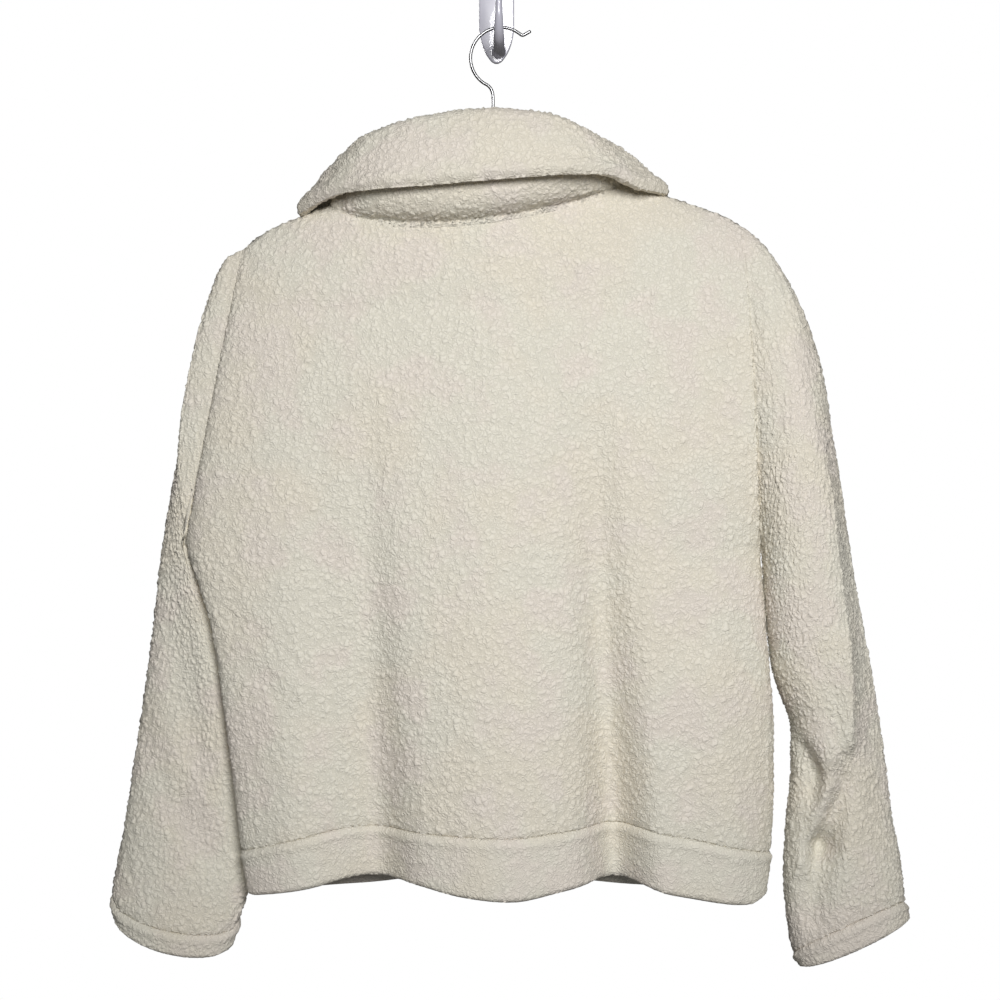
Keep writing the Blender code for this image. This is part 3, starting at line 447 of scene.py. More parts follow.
def even_arc(count):
    """Places from 0 to 1, closer together towards both ends."""
    return (1 - np.cos(np.pi * np.arange(count + 1) / count)) / 2


# ---------------------------------------------------------------- the body's surface

NECK_U = even_arc(COLUMNS)[NECK_COLUMNS]


def shoulder_line(x):
    """Height of the cloth's crest over the hanger."""
    slope = np.where(x < 0, SHOULDER_SLOPE["left"], SHOULDER_SLOPE["right"])
    past = np.clip((np.abs(x) - TIP_START) / TIP_RUN, 0, TIP_PAST)
    return SHOULDER_TOP - slope * np.abs(x) - TIP_DROP * past**2


def shoulder_tip(side):
    """x, y, z of the armhole's top."""
    return TIP_X[side], 0.0, float(shoulder_line(TIP_X[side]))


def tube_power(drop, ring):
    """How a sleeve's tube rounds off: softer at the underarm."""
    return TUBE_ROUND + UNDERARM_ROUND * drop * np.clip(1 - ring / UNDERARM_RINGS, 0, 1)


def armhole(side, face, drop):
    """x, y, z of the armhole's edge, `drop` of the way from the shoulder's tip to the underarm."""
    x, y, z = (mix(high, low, drop) for high, low in zip(shoulder_tip(side), UNDERARM[side]))
    return x, y + ARMHOLE_BOW[side][face] * (4 * drop * (1 - drop)) ** (tube_power(drop, 0) / 2), z


def top_edge(face, u):
    """Height of a panel's top edge: shoulder, neck, shoulder."""
    ends = [float(shoulder_line(mix(TIP_X["left"], TIP_X["right"], end))) for end in NECK_U]
    t = np.clip((u - NECK_U[0]) / (NECK_U[1] - NECK_U[0]), 0, 1)
    sag = NECK_SAG[face] * np.abs(np.sin(np.pi * t ** NECK_LEAN[face])) ** NECK_ROUND[face]
    in_neck = (t > 0) & (t < 1)
    shoulder = shoulder_line(mix(TIP_X["left"], TIP_X["right"], u))
    return np.where(in_neck, mix(ends[0], ends[1], t) - sag, shoulder)


def height(face, u, v):
    """z of the body's surface at u and v."""
    seam, foot = through(HEM[face], u, 1), through(HEM[face], u, 2)
    underarm = mix(UNDERARM["left"][2], UNDERARM["right"][2], u)
    below = np.where(v < 0, mix(seam, foot, -v), mix(seam, underarm, v))
    return np.where(v > 1, mix(underarm, top_edge(face, u), v - 1), below)


def side_edge(side, face, v):
    """x and y of the body's left or right edge at v: side seam, then armhole."""
    z = height(face, np.full(np.shape(v), float(side == "right")), v)
    x, y, _ = armhole(side, face, np.clip(2 - v, 0, 1))
    return np.where(v > 1, x, through(SIDE_X[side], z)), np.where(v > 1, y, through(SIDE_Y[side], z))


def body(face, u, v):
    """The outer face of the back or front: u across, v -1 lower edge, 0 hem seam, 1 underarm, 2 top."""
    z = height(face, u, v)
    left_x, left_y = side_edge("left", face, v)
    right_x, right_y = side_edge("right", face, v)
    x = mix(left_x, right_x, u)
    edge_y = left_y * (1 - u) ** 2 + right_y * u**2
    depth = through(DEPTH[face], shoulder_line(x) - z)
    if face == "back":
        across = np.clip(1 - np.abs(2 * u - 1) ** BACK_ROUND, 0, 1) ** (1 / BACK_ROUND)
        return np.stack([x, edge_y - (depth + edge_y - sunk(FOLDS[face], x, z)) * across, z], axis=-1)
    across = np.abs(np.sin(np.pi * u)) ** FRONT_ROUND
    risen = np.clip((z - SLIDER_Z) / (top_edge(face, np.array(0.5)) - SLIDER_Z), 0, 1)
    slit = SLIT / 2 + SLIT_SPREAD * risen**SLIT_POWER - SLIT_U * (right_x - left_x)
    near = np.exp(-(((np.abs(u - 0.5) - SLIT_U) / SLIT_EASE) ** 2))
    eased = near * np.clip((z - EASE_FOOT) / EASE_RUN, 0, 1)
    x = x + np.sign(u - 0.5) * slit * eased
    return np.stack([x, edge_y + (depth - edge_y - sunk(FOLDS[face], x, z)) * across, z], axis=-1)


# ---------------------------------------------------------------- sleeves and collar


def sleeve(side, ring, turn):
    """The outer face of a sleeve: ring 0 at the armhole, then the table's; turn 0 outer edge, by the back."""
    bow = ARMHOLE_BOW[side]
    armhole_ring = shoulder_tip(side) + UNDERARM[side] + (bow["back"], bow["front"], 0, 0)
    rows = numbered((armhole_ring, *SLEEVES[side]))
    outer_x, outer_y, outer_z, inner_x, inner_y, inner_z, back, front, hang, outwards = (
        through(rows, ring, column) for column in range(1, 11)
    )
    drop = (1 - np.cos(turn)) / 2
    stand = np.abs(np.sin(turn)) ** tube_power(drop, ring)
    at_back = np.sin(turn) > 0
    x = mix(outer_x, inner_x, drop) + np.sign(outer_x) * outwards * 4 * drop * (1 - drop)
    if side == "right":
        ridge = (outer_x - through(SIDE_RIDGE, outer_z)) / (outer_x - inner_x)
        side_face = np.clip(drop / np.maximum(ridge, LEAST_FACE), 0, 1)
        flattened = np.interp(ring, SIDE_FACE_RINGS, (0, SIDE_FACE, SIDE_FACE, 0))
        stand = np.where(at_back, stand * mix(1, side_face, flattened), stand)
    y = mix(outer_y, inner_y, drop) + np.where(at_back, back, front) * stand
    z = mix(outer_z, inner_z, drop) - np.where(at_back, hang, -hang) * stand
    behind, before = (sunk(FOLDS[f"{side}_sleeve_{face}"], x, z) for face in ("back", "front"))
    if side == "right":
        behind = behind + stepped(ELBOW_LIP, x, z)
    y = y + np.where(at_back, behind, -before) * stand
    return np.stack([x, y, z], axis=-1)


def neck_seam(s):
    """The neck's seam from the zip by the back (|s| under a half) to the zip again."""
    middle = body("back", mix(NECK_U[0], NECK_U[1], s + 0.5), np.full(np.shape(s), 2.0))
    left = mix(0.5 - SLIT_U, NECK_U[0], 2 * (s + 1))
    right = mix(NECK_U[1], 0.5 + SLIT_U, 2 * (s - 0.5))
    front = body("front", np.where(s < 0, left, right), np.full(np.shape(s), 2.0))
    return np.where(np.abs(s)[..., None] <= 0.5, middle, front)


def lifted(points, t):
    """Points of the collar's fall, moved off the shoulders that they rest on."""
    lift = mix(LIFT, EDGE_LIFT, (t - 2) ** 2)
    lift = lift + CREST_LIFT * (3 - t) * np.exp(-((points[..., 1] / CREST_HALF) ** 2))
    drops = np.linspace(0, LIFT_REACH, LIFT_STEPS)
    back, front = (
        np.stack([sign * through(DEPTH[face], drops), -drops], axis=-1)
        for face, sign in (("back", -1), ("front", 1))
    )
    outline = np.concatenate([back[::-1], front[1:]])
    section = np.stack([points[..., 1], points[..., 2] - shoulder_line(points[..., 0])], axis=-1)
    away = section[..., None, :] - outline
    nearest = np.argmin((away**2).sum(axis=-1), axis=-1)
    ahead = outline[np.minimum(nearest + 1, len(outline) - 1)] - outline[np.maximum(nearest - 1, 0)]
    out = unit(np.stack([-ahead[..., 1], ahead[..., 0]], axis=-1))
    reached = (np.take_along_axis(away, nearest[..., None, None], axis=-2)[..., 0, :] * out).sum(axis=-1)
    short = np.maximum(lift - reached, 0)
    return points + np.stack([np.zeros(short.shape), out[..., 0] * short, out[..., 1] * short], axis=-1)


def collar(s, t):
    """The middle of the collar's cloth: t 0 to 1 up the stand, 1 to 2 over the fold, 2 to 3 down the fall."""
    seam = neck_seam(s)
    fold, edge = (
        np.stack([through(COLLAR, s, column) for column in columns], axis=-1)
        for columns in ((1, 2, 3), (4, 5, 6))
    )
    ahead, behind = s + COLLAR_STEP, s - COLLAR_STEP
    run_x, run_y = (through(COLLAR, ahead, column) - through(COLLAR, behind, column) for column in (1, 2))
    outward = unit(np.stack([run_y, -run_x, np.zeros(s.shape)], axis=-1))
    up = np.array([0.0, 0.0, 1.0])
    base = fold - up * FOLD_RADIUS
    inner = base - outward * FOLD_RADIUS
    pull = np.linalg.norm(inner - seam, axis=-1, keepdims=True) * CURVE_PULL
    climb = np.clip(t, 0, 1)[..., None]
    bulge = np.clip(1 - (s / STAND_BULGE_END) ** 4, 0, 1)[..., None]
    belly = unit(outward + up * STAND_AIM) * STAND_BULGE
    start = mix(unit(inner - seam + up * STAND_UP) * pull, belly, bulge)
    stand = bezier(seam, seam + start, inner - up * pull, inner, climb)
    lean = unit(edge - base)
    aside, fallen = (lean * outward).sum(axis=-1, keepdims=True), lean[..., 2:]
    square = up * aside - outward * fallen
    away = unit(lean + square * FALL_BULGE)
    last = np.arctan2((away * outward).sum(axis=-1, keepdims=True), away[..., 2:])
    angle = last * np.clip(t - 1, 0, 1)[..., None]
    turn = base + FOLD_RADIUS * (up * np.sin(angle) - outward * np.cos(angle))
    outer = base + FOLD_RADIUS * (up * np.sin(last) - outward * np.cos(last))
    pull = np.linalg.norm(edge - outer, axis=-1, keepdims=True) * CURVE_PULL
    descent = np.clip(t - 2, 0, 1)[..., None]
    fall = bezier(outer, outer + away * pull, edge - unit(lean - square * FALL_BULGE) * pull, edge, descent)
    up_to_fold = np.where(t[..., None] <= 1, stand, turn)
    return np.where(t[..., None] <= 2, up_to_fold, lifted(fall, np.clip(t, 2, 3)))


# ---------------------------------------------------------------- the cloth's fine form


def run_along(line):
    """How far each point of a line is from its start."""
    return np.append(0, np.cumsum(np.linalg.norm(np.diff(line, axis=0), axis=1)))


def sampled(at, run, values):
    """The values at places along a run, from those at its points."""
    return np.stack([np.interp(at, run, values[:, axis]) for axis in range(3)], axis=-1)


def evenly(line, count):
    """Places from 0 to 1 that part a line of points into equal lengths."""
    run = run_along(line)
    return np.interp(np.linspace(0, run[-1], count + 1), run, np.linspace(0, 1, len(line)))


def spaced(line, spacing, multiple=1):
    """The same, into lengths of about `spacing`, as many as a multiple of `multiple`."""
    return evenly(line, multiple * round(run_along(line)[-1] / spacing / multiple))


def marked(values, marks):
    """The values, with the nearest to each mark moved onto it."""
    values = np.array(values)
    for mark in marks:
        values[np.argmin(np.abs(values - mark))] = mark
    return values


def kept(count, step, also=()):
    """The rows or columns that the inner face keeps."""
    return sorted({*range(0, count, step), count - 1, *also})


def rounded(run, half, edge=BOUND_EDGE):
    """Half the thickness of doubled cloth at `run` along it, rounded off over its last `edge` millimetres."""
    near = np.clip((run[-1] - run) / edge, 0, 1)
    return np.maximum(half * np.sqrt(1 - (1 - near) ** 2), LEAST_HALF)


def facing_out(grid, facing, tube=False):
    """Which way each point of a grid of cloth faces."""
    down, across = np.gradient(grid, axis=0), np.gradient(grid, axis=1)
    if tube:
        across = np.roll(grid, -1, axis=1) - np.roll(grid, 1, axis=1)
    return unit(np.cross(across, down)) * facing


class Cloth:
    """A piece of cloth: a fine outer face, a wall, and an inner face with fewer points.

    `middle` and `half` give, for each row, the wall's middle above the grid and half its thickness. `tube`
    joins the last column to the first. `slit` is (column, row): the faces of that column are left out above
    that row. `fine` gives the inner face every point too.
    """

    def __init__(self, name, grid, facing, middle, half, tube=False, slit=None, fine=False):
        self.name, self.grid, self.tube, self.slit = name, grid, tube, slit
        self.normal = facing_out(grid, facing, tube)
        rows, columns = grid.shape[:2]
        middle, half = (np.broadcast_to(size, rows)[:, None, None] for size in (middle, half))
        self.outer = grid + self.normal * (middle + half)
        self.inner = grid + self.normal * (middle - half)
        step = 1 if fine else INNER_STEP
        self.rows = kept(rows, step, slit[1:] if slit else ())
        self.columns = kept(columns, step, (slit[0], slit[0] + 1) if slit else ())
        if tube:
            self.columns = list(range(0, columns, step))

    def faces(self, rows, columns, numbers, turned):
        """The faces between these rows and columns of a grid of the points' numbers."""
        count = numbers.shape[1]
        wrapped = columns + [columns[0] + count] if self.tube else columns
        quads = []
        for i, below in zip(rows, rows[1:]):
            for j, after in zip(wrapped, wrapped[1:]):
                if self.slit and j == self.slit[0] and i >= self.slit[1]:
                    continue
                after %= count
                quad = (numbers[i, j], numbers[i, after], numbers[below, after], numbers[below, j])
                quads.append(quad[::-1] if turned else quad)
        return quads

    def borders(self):
        """The edges of the outer face as paths of places, each the way round that its faces go."""
        last_row, last_column = self.grid.shape[0] - 1, self.grid.shape[1] - 1
        if self.tube:
            around = list(range(last_column + 2))
            return [[(0, j) for j in around], [(last_row, j) for j in reversed(around)]]
        path = [(0, j) for j in range(last_column + 1)] + [(i, last_column) for i in range(1, last_row + 1)]
        if self.slit:
            left, foot = self.slit
            path += [(last_row, j) for j in range(last_column - 1, left, -1)]
            path += [(i, left + 1) for i in range(last_row - 1, foot - 1, -1)]
            path += [(i, left) for i in range(foot, last_row + 1)]
            path += [(last_row, j) for j in range(left - 1, -1, -1)]
        else:
            path += [(last_row, j) for j in range(last_column - 1, -1, -1)]
        return [path + [(i, 0) for i in range(last_row - 1, -1, -1)]]

    def solid(self):
        """Points, faces and normals of the closed wall, and how many of the points are the outer face's."""
        shape, kept_places = self.grid.shape[:2], np.ix_(self.rows, self.columns)
        outer, inner = np.arange(shape[0] * shape[1]).reshape(shape), np.full(shape, -1)
        inner[kept_places] = outer.size + np.arange(inner[kept_places].size).reshape(len(self.rows), -1)
        every_row, every_column = (list(range(count)) for count in shape)
        faces = self.faces(every_row, every_column, outer, False)
        faces += self.faces(self.rows, self.columns, inner, True)
        for border in self.borders():
            path = [(i, j % shape[1]) for i, j in border]
            marks = [k for k, at in enumerate(path) if inner[at] >= 0]
            for first, last in zip(marks, marks[1:]):
                near, far, half_way = inner[path[first]], inner[path[last]], (first + last) // 2
                for k in range(first, last):
                    faces.append((outer[path[k + 1]], outer[path[k]], near if k < half_way else far))
                faces.append((outer[path[half_way]], near, far))
        points, normals = (
            np.concatenate([whole.reshape(-1, 3), behind[kept_places].reshape(-1, 3)])
            for whole, behind in ((self.outer, self.inner), (self.normal, -self.normal))
        )
        return points, faces, normals, outer.size


def closed_mesh(name, points, faces):
    """A smooth mesh from table points, with its faces turned outwards."""
    fans = np.array([(face[0], *face[k : k + 2]) for face in faces for k in range(1, len(face) - 1)])
    corners = np.asarray(points, float)[fans]
    if np.einsum("ij,ij->", corners[:, 0], np.cross(corners[:, 1], corners[:, 2])) < 0:
        faces = [face[::-1] for face in faces]
    mesh = bpy.data.meshes.new(name)
    mesh.from_pydata(place(points).tolist(), [], [[int(corner) for corner in face] for face in faces])
    mesh.shade_smooth()
    return mesh


def keep_vectors(mesh, name, values):
    """Keeps a vector for each point of a mesh, as an attribute."""
    layer = mesh.attributes.new(name, "FLOAT_VECTOR", "POINT")
    layer.data.foreach_set("vector", np.asarray(values, np.float32).ravel())


# ---------------------------------------------------------------- node trees


class Term:
    """A number in a node tree, which adds the tree's Math nodes as it is used in sums."""

    def __init__(self, graph, socket):
        self.graph, self.socket = graph, socket

    def maths(self, operation, first, second):
        return self.graph.term("ShaderNodeMath", {"operation": operation}, {0: first, 1: second})

    def __add__(self, other):
        return self.maths("ADD", self, other)

    def __sub__(self, other):
        return self.maths("SUBTRACT", self, other)

    def __mul__(self, other):
        return self.maths("MULTIPLY", self, other)

    def __rtruediv__(self, other):
        return self.maths("DIVIDE", other, self)


class Graph:
    """Adds nodes to a shader's or a geometry's tree."""

    def __init__(self, tree):
        self.tree = tree
        self.tree.nodes.clear()

    def node(self, kind, settings=None, sockets=None):
        made = self.tree.nodes.new(kind)
        for name, value in (settings or {}).items():
            setattr(made, name, value)
        for name, value in (sockets or {}).items():
            self.put(value, made.inputs[name])
        return made

    def put(self, value, socket):
        if isinstance(value, Term):
            self.tree.links.new(value.socket, socket)
        else:
            socket.default_value = value

    def term(self, kind, settings=None, sockets=None, output=0):
        """A new node's output."""
        return Term(self, self.node(kind, settings, sockets).outputs[output])

    def vectors(self, operation, sockets):
        return self.term("ShaderNodeVectorMath", {"operation": operation}, sockets)

    def noise(self, at, scale, detail, output=0):
        """Noise at a place: a number, or its "Color"."""
        return self.term("ShaderNodeTexNoise", None, {"Vector": at, "Scale": scale, "Detail": detail}, output)

    def attribute(self, name, kind="FLOAT_VECTOR"):
        """A named attribute in a geometry's tree."""
        return self.term("GeometryNodeInputNamedAttribute", {"data_type": kind}, {"Name": name})

    def colours(self, factor, low, high, blend="MIX"):
        """A mix of two colours. The node's sockets for other kinds of value have the same names."""
        made = self.node("ShaderNodeMix", {"data_type": "RGBA", "blend_type": blend}, {0: factor})
        for colour, socket in ((low, made.inputs[6]), (high, made.inputs[7])):
            self.put(colour if isinstance(colour, Term) else (*colour, 1), socket)
        return Term(self, made.outputs[2])

    def eased(self, value, low, high):
        """0 below low, 1 above high, smooth between."""
        settings = {"interpolation_type": "SMOOTHSTEP"}
        return self.term("ShaderNodeMapRange", settings, {"Value": value, "From Min": low, "From Max": high})

    def bump(self, shader, bump, height):
        """Raises the shader's face by a height. `bump` is its strength and its distance."""
        strength, distance = bump
        sockets = {"Strength": strength, "Distance": distance, "Height": height}
        self.put(self.term("ShaderNodeBump", None, sockets), shader.inputs["Normal"])


def curls(graph, at, size):
    """The pile's curls at a place in millimetres: how far from a crevice, and an uneven height."""
    scaled = graph.vectors("SCALE", {0: at, "Scale": 1 / size})
    wander = graph.noise(scaled, WANDER_SCALE, WANDER_DETAIL, "Color")
    centred = graph.vectors("SUBTRACT", {0: wander, 1: (0.5, 0.5, 0.5)})
    bent = graph.vectors("MULTIPLY_ADD", {0: centred, 1: (WANDER_REACH,) * 3, 2: scaled})
    settings = {"feature": "DISTANCE_TO_EDGE"}
    crevice = graph.term("ShaderNodeTexVoronoi", settings, {"Vector": bent, "Scale": 1.0})
    return crevice, graph.noise(scaled, UNEVEN_SCALE, UNEVEN_DETAIL)


def curl_height(graph, crevice, uneven):
    """How high a curl stands over its crevice, from about 0 to 1."""
    return graph.eased(crevice, 0.0, CURL_ROUND) * (uneven * UNEVEN_SHARE + UNEVEN_LEAST)


def grown(name, inputs, build):
    """A geometry's tree with these inputs, the last a finish. `build` makes the geometry from the others."""
    tree = bpy.data.node_groups.new(name, "GeometryNodeTree")
    for label, kind in inputs.items():
        tree.interface.new_socket(label, in_out="INPUT", socket_type="NodeSocket" + kind)
    tree.interface.new_socket("Made", in_out="OUTPUT", socket_type="NodeSocketGeometry")
    graph = Graph(tree)
    given = graph.node("NodeGroupInput")
    *terms, finish = (Term(graph, given.outputs[k]) for k in range(len(inputs)))
    whole = graph.term("GeometryNodeRealizeInstances", None, {"Geometry": build(graph, *terms)})
    finished = graph.term("GeometryNodeSetMaterial", None, {"Geometry": whole, "Material": finish})
    graph.node("NodeGroupOutput", None, {"Made": finished})
    return tree


def made_plain(thing, tree, **values):
    """Runs a geometry's tree on the object and keeps its result as a plain mesh."""
    modifier = thing.modifiers.new("made", "NODES")
    modifier.node_group = tree
    for item in tree.interface.items_tree:
        if item.in_out == "INPUT" and item.name in values:
            modifier[item.identifier] = values[item.name]
    bpy.context.view_layer.update()
    graph = bpy.context.evaluated_depsgraph_get()
    mesh = bpy.data.meshes.new_from_object(
        thing.evaluated_get(graph), preserve_all_data_layers=True, depsgraph=graph
    )
    thing.modifiers.remove(modifier)
    thing.data = mesh
    mesh.name = thing.name


# ---------------------------------------------------------------- finishes


def finish_of(name, roughness, metallic=0.0, **constants):
    """A new material: its graph and its shader's node, linked to the output."""
    made = bpy.data.materials.new(name)
    made.use_nodes = True
    graph = Graph(made.node_tree)
    sockets = {"Roughness": roughness, "Metallic": metallic}
    sockets.update({key.replace("_", " "): value for key, value in constants.items()})
    shader = graph.node("ShaderNodeBsdfPrincipled", None, sockets)
    graph.node("ShaderNodeOutputMaterial", None, {"Surface": Term(graph, shader.outputs[0])})
    return made, graph, shader


def fleece_finish(name, curl, depth):
    """Sherpa pile: curls `curl` millimetres across with painted shade in their crevices, and faint patches of
    tint.
    """
    sheen = {"Sheen_Weight": SHEEN, "Sheen_Roughness": SHEEN_ROUGHNESS}
    made, graph, shader = finish_of(name, FLEECE_ROUGHNESS, **sheen)
    rest = graph.term("ShaderNodeAttribute", {"attribute_name": "rest"}, None, "Vector")
    crevice, uneven = curls(graph, rest, curl)
    tint = CREAM["warm"]
    for patch, (scale, detail, low, high) in PATCHES.items():
        tint = graph.colours(graph.eased(graph.noise(rest, scale, detail), low, high), tint, CREAM[patch])
    # Painted shade: the colour is darkened by `depth` in the crevices between the curls, and blue more than
    # the rest.
    crevice_shade = graph.colours(1.0, tint, (1 - depth, 1 - depth, 1 - depth * CREVICE_SHADE_BLUE), "MULTIPLY")
    colour = graph.colours(graph.eased(crevice, 0.0, CREVICE_SHADE_WIDTH), crevice_shade, tint)
    graph.put(colour, shader.inputs["Base Color"])
    fibre = graph.noise(rest, FIBRE_SCALE, FIBRE_DETAIL)
    graph.bump(shader, FLEECE_BUMP, curl_height(graph, crevice, uneven) + fibre * FIBRE_HEIGHT)
    return made


def woven_finish(name):
    """Woven tape: rows and lines of threads."""
    made, graph, shader = finish_of(name, WEAVE_ROUGHNESS)
    sockets = {"Vector": graph.term("ShaderNodeTexCoord", output="Object"), "Scale": WEAVE_SCALE}
    rows, lines = (graph.term("ShaderNodeTexWave", {"bands_direction": axis}, sockets) for axis in "ZX")
    graph.put(graph.colours(rows * lines, *WEAVE_COLOURS), shader.inputs["Base Color"])
    graph.bump(shader, WEAVE_BUMP, rows + lines)
    return made


def hard_finish(name):
    """A hard part's finish: its colour and its polish vary a little."""
    low, high, roughness, metallic, coat = HARD[name]
    made, graph, shader = finish_of(name, roughness, metallic, Coat_Weight=coat)
    grain = graph.noise(graph.term("ShaderNodeTexCoord", output="Object"), GRAIN_SCALE, GRAIN_DETAIL)
    graph.put(graph.colours(grain, low, high), shader.inputs["Base Color"])
    graph.put(grain * GRAIN_ROUGHNESS + (roughness - GRAIN_ROUGHNESS / 2), shader.inputs["Roughness"])
    return made


# ---------------------------------------------------------------- pieces


def piled(graph, cloth, size, tall):
    """Raises curls from the cloth, `tall` millimetres over their crevices."""
    curl = curl_height(graph, *curls(graph, graph.attribute("rest"), size))
    rise = (curl - CURL_LEVEL) * graph.attribute("pile", "FLOAT") * tall * (1 / METRE)
    offset = graph.vectors("SCALE", {0: graph.attribute("way_out"), "Scale": rise})
    return graph.term("GeometryNodeSetPosition", None, {"Geometry": cloth, "Offset": offset})


def added(name, mesh, finish=None):
    """A new object in the scene."""
    thing = bpy.data.objects.new(name, mesh)
    bpy.context.scene.collection.objects.link(thing)
    if finish:
        mesh.materials.append(finish)
    return thing


def cloth_object(cloth, kind, pile=1.0, behind=BEHIND):
    """A cloth piece with its pile. `pile` scales the curls over the grid, and `behind` on the inner face."""
    points, faces, normals, outer_count = cloth.solid()
    mesh = closed_mesh(cloth.name + "_fleece", points, faces)
    scale = np.full(len(points), behind)
    scale[:outer_count] = np.broadcast_to(pile, cloth.grid.shape[:2]).ravel()
    keep_vectors(mesh, "rest", points)
    keep_vectors(mesh, "way_out", normals)
    mesh.attributes.new("pile", "FLOAT", "POINT").data.foreach_set("value", scale.astype(np.float32))
    curl, tall, _ = PILES[kind]
    thing = added(cloth.name + "_fleece", mesh)
    made_plain(thing, PILE, Curl=curl, Height=tall, Finish=FLEECES[kind])
    for name in ("way_out", "pile"):
        thing.data.attributes.remove(thing.data.attributes[name])
    return thing


def run_down(grid):
    """How far each row is from the first, down a column a third of the way across."""
    return run_along(grid[:, grid.shape[1] // 3])


def seam_dip(run):
    """How far cloth sinks towards the seam at the start of `run`."""
    return -SEAM_DIP * np.exp(-((run / SEAM_REACH) ** 2))


def across_of(face):
    """The columns of the back or the front, with some at the neck's ends and at the slit's edges."""
    guide = body(face, np.linspace(0, 1, GUIDE), np.full(GUIDE, GUIDE_V))
    guide[:, 2] = 0
    u = spaced(guide, SPACING[face + "_panel"])
    if face == "back":
        return marked(u, NECK_U)
    u = marked(u, [*NECK_U, 0.5 - SLIT_U, 0.5 + SLIT_U])
    return u[(u <= 0.5 - SLIT_U) | (u >= 0.5 + SLIT_U)]


def panel(face):
    """The back or the front, from its seam with the hem band up to the shoulders."""
    guide = body(face, np.full(GUIDE, GUIDE_U), np.linspace(0, 2, GUIDE))
    columns = across_of(face)
    u, v = np.meshgrid(columns, marked(spaced(guide, SPACING[face + "_panel"]) * 2, [1.0]))
    grid = body(face, u, v)
    slit = None
    if face == "front":
        left = int(np.searchsorted(columns, 0.5)) - 1
        slit = (left, int(np.argmin(np.abs(grid[:, left, 2] - ZIP_FOOT))))
    middle = seam_dip(run_down(grid)) - FLEECE / 2
    return Cloth(face + "_panel", grid, 1 if face == "back" else -1, middle, FLEECE / 2, slit=slit)


def flat_sides(cloth):
    """How high the pile stands over a panel: flattened where its side edges are sewn."""
    column = np.arange(cloth.grid.shape[1])
    run = np.minimum(column, column[::-1]) * SPACING["back_panel"]
    return 1 - SEWN_FLAT * np.exp(-((run / SEAM_REACH) ** 2))


def flat_start(cloth):
    """The same for a sleeve, whose first row is its sewn edge."""
    run = np.arange(cloth.grid.shape[0]) * SPACING["sleeve"]
    return (1 - SEWN_FLAT * np.exp(-((run / SEAM_REACH / SLEEVE_REACH) ** 2)))[:, None]


def band(name, grid, facing, tube=False):
    """A band of doubled cloth, from its seam down to its rounded edge."""
    run = run_down(grid)
    risen = np.clip(run / SEAM_REACH, 0, 1)
    half = mix(FLEECE, DOUBLED, risen) / 2
    crest = BAND_CREST * np.exp(-(((run - BAND_CREST_AT) / BAND_CREST_HALF) ** 2))
    middle = risen * BAND_PROUD + crest + seam_dip(run) - half
    return Cloth(name, grid, facing, middle, rounded(run, half), tube)


def hem_band(face):
    """The hem band's back or front."""
    guide = body(face, np.full(HEM_GUIDE, GUIDE_U), np.linspace(0, -1, HEM_GUIDE))
    u, v = np.meshgrid(across_of(face), -spaced(guide, SPACING["hem_band"]))
    return band("hem_band_" + face, body(face, u, v), -1 if face == "back" else 1)


def sleeve_pieces(side):
    """A sleeve, which starts tucked under the body's edge, and its cuff hem."""
    facing, last = -1 if side == "left" else 1, len(SLEEVES[side]) - 1
    guide = sleeve(side, np.full(GUIDE, GUIDE_RING), np.linspace(0, 2 * np.pi, GUIDE))
    turns = spaced(guide, SPACING["sleeve"], INNER_STEP)[:-1] * 2 * np.pi
    guide = sleeve(side, np.linspace(0, last, SLEEVE_GUIDE), np.full(SLEEVE_GUIDE, np.pi / 2))
    turn, ring = np.meshgrid(turns, spaced(guide, SPACING["sleeve"]) * last)
    grid = sleeve(side, ring, turn)
    under = facing_out(grid, facing, tube=True)[:1]
    tucked = grid[:1] + unit(grid[:1] - grid[2:3]) * TUCK - under * TUCK / TUCK_SLOPE
    grid = np.concatenate([tucked, grid])
    to_cuff = run_down(grid)[-1] - run_down(grid)
    whole = Cloth("sleeve_" + side, grid, facing, seam_dip(to_cuff) - FLEECE / 2, FLEECE / 2, tube=True)
    turn, ring = np.meshgrid(turns, last + np.linspace(0, 1, CUFF_ROWS))
    return whole, band("cuff_hem_" + side, sleeve(side, ring, turn), facing, tube=True)


def collar_piece():
    """The collar, from the neck's seam up the stand, over the fold and down the fall."""
    s = evenly(collar(np.linspace(-1, 1, GUIDE), np.full(GUIDE, GUIDE_FALL)), COLLAR_COLUMNS) * 2 - 1
    t = spaced(collar(np.zeros(GUIDE), np.linspace(0, 3, GUIDE)), SPACING["collar"]) * 3
    s, t = np.meshgrid(s, t)
    grid = collar(s, t)
    run = run_down(grid)
    risen = np.clip(run / COLLAR_RISE, 0, 1)
    rolled = ROLL * np.exp(-(((run[-1] - run - ROLL_BACK) / ROLL_BACK) ** 2))
    half = rounded(run, mix(FLEECE, DOUBLED, risen) / 2 + rolled, ROLL_BACK)
    puff = PUFF * np.sin(np.pi * np.clip(t - 2, 0, 1)) ** PUFF_POWER * np.exp(-((s / PUFF_END) ** PUFF_EDGE))
    grid = grid + facing_out(grid, 1) * puff[..., None]
    seam = grid[:1] - np.array([0, 0, TUCK]) + (grid[1:2] - grid[:1]) * np.array([1, 1, 0])
    grid, t = np.concatenate([seam, grid]), np.concatenate([t[:1], t])
    risen, half = (np.append(row[:1], row) for row in (risen, half))
    cloth = Cloth("collar", grid, 1, mix(-FLEECE / 2, 0, risen), half, fine=True)
    at_back = (grid[..., 1] < WRINKLES_BEHIND) & (t > 2)
    wrinkle = sunk(FOLDS["collar"], grid[..., 0], grid[..., 2]) * at_back
    cloth.outer -= cloth.normal * wrinkle[..., None]
    return cloth


# ---------------------------------------------------------------- hard parts


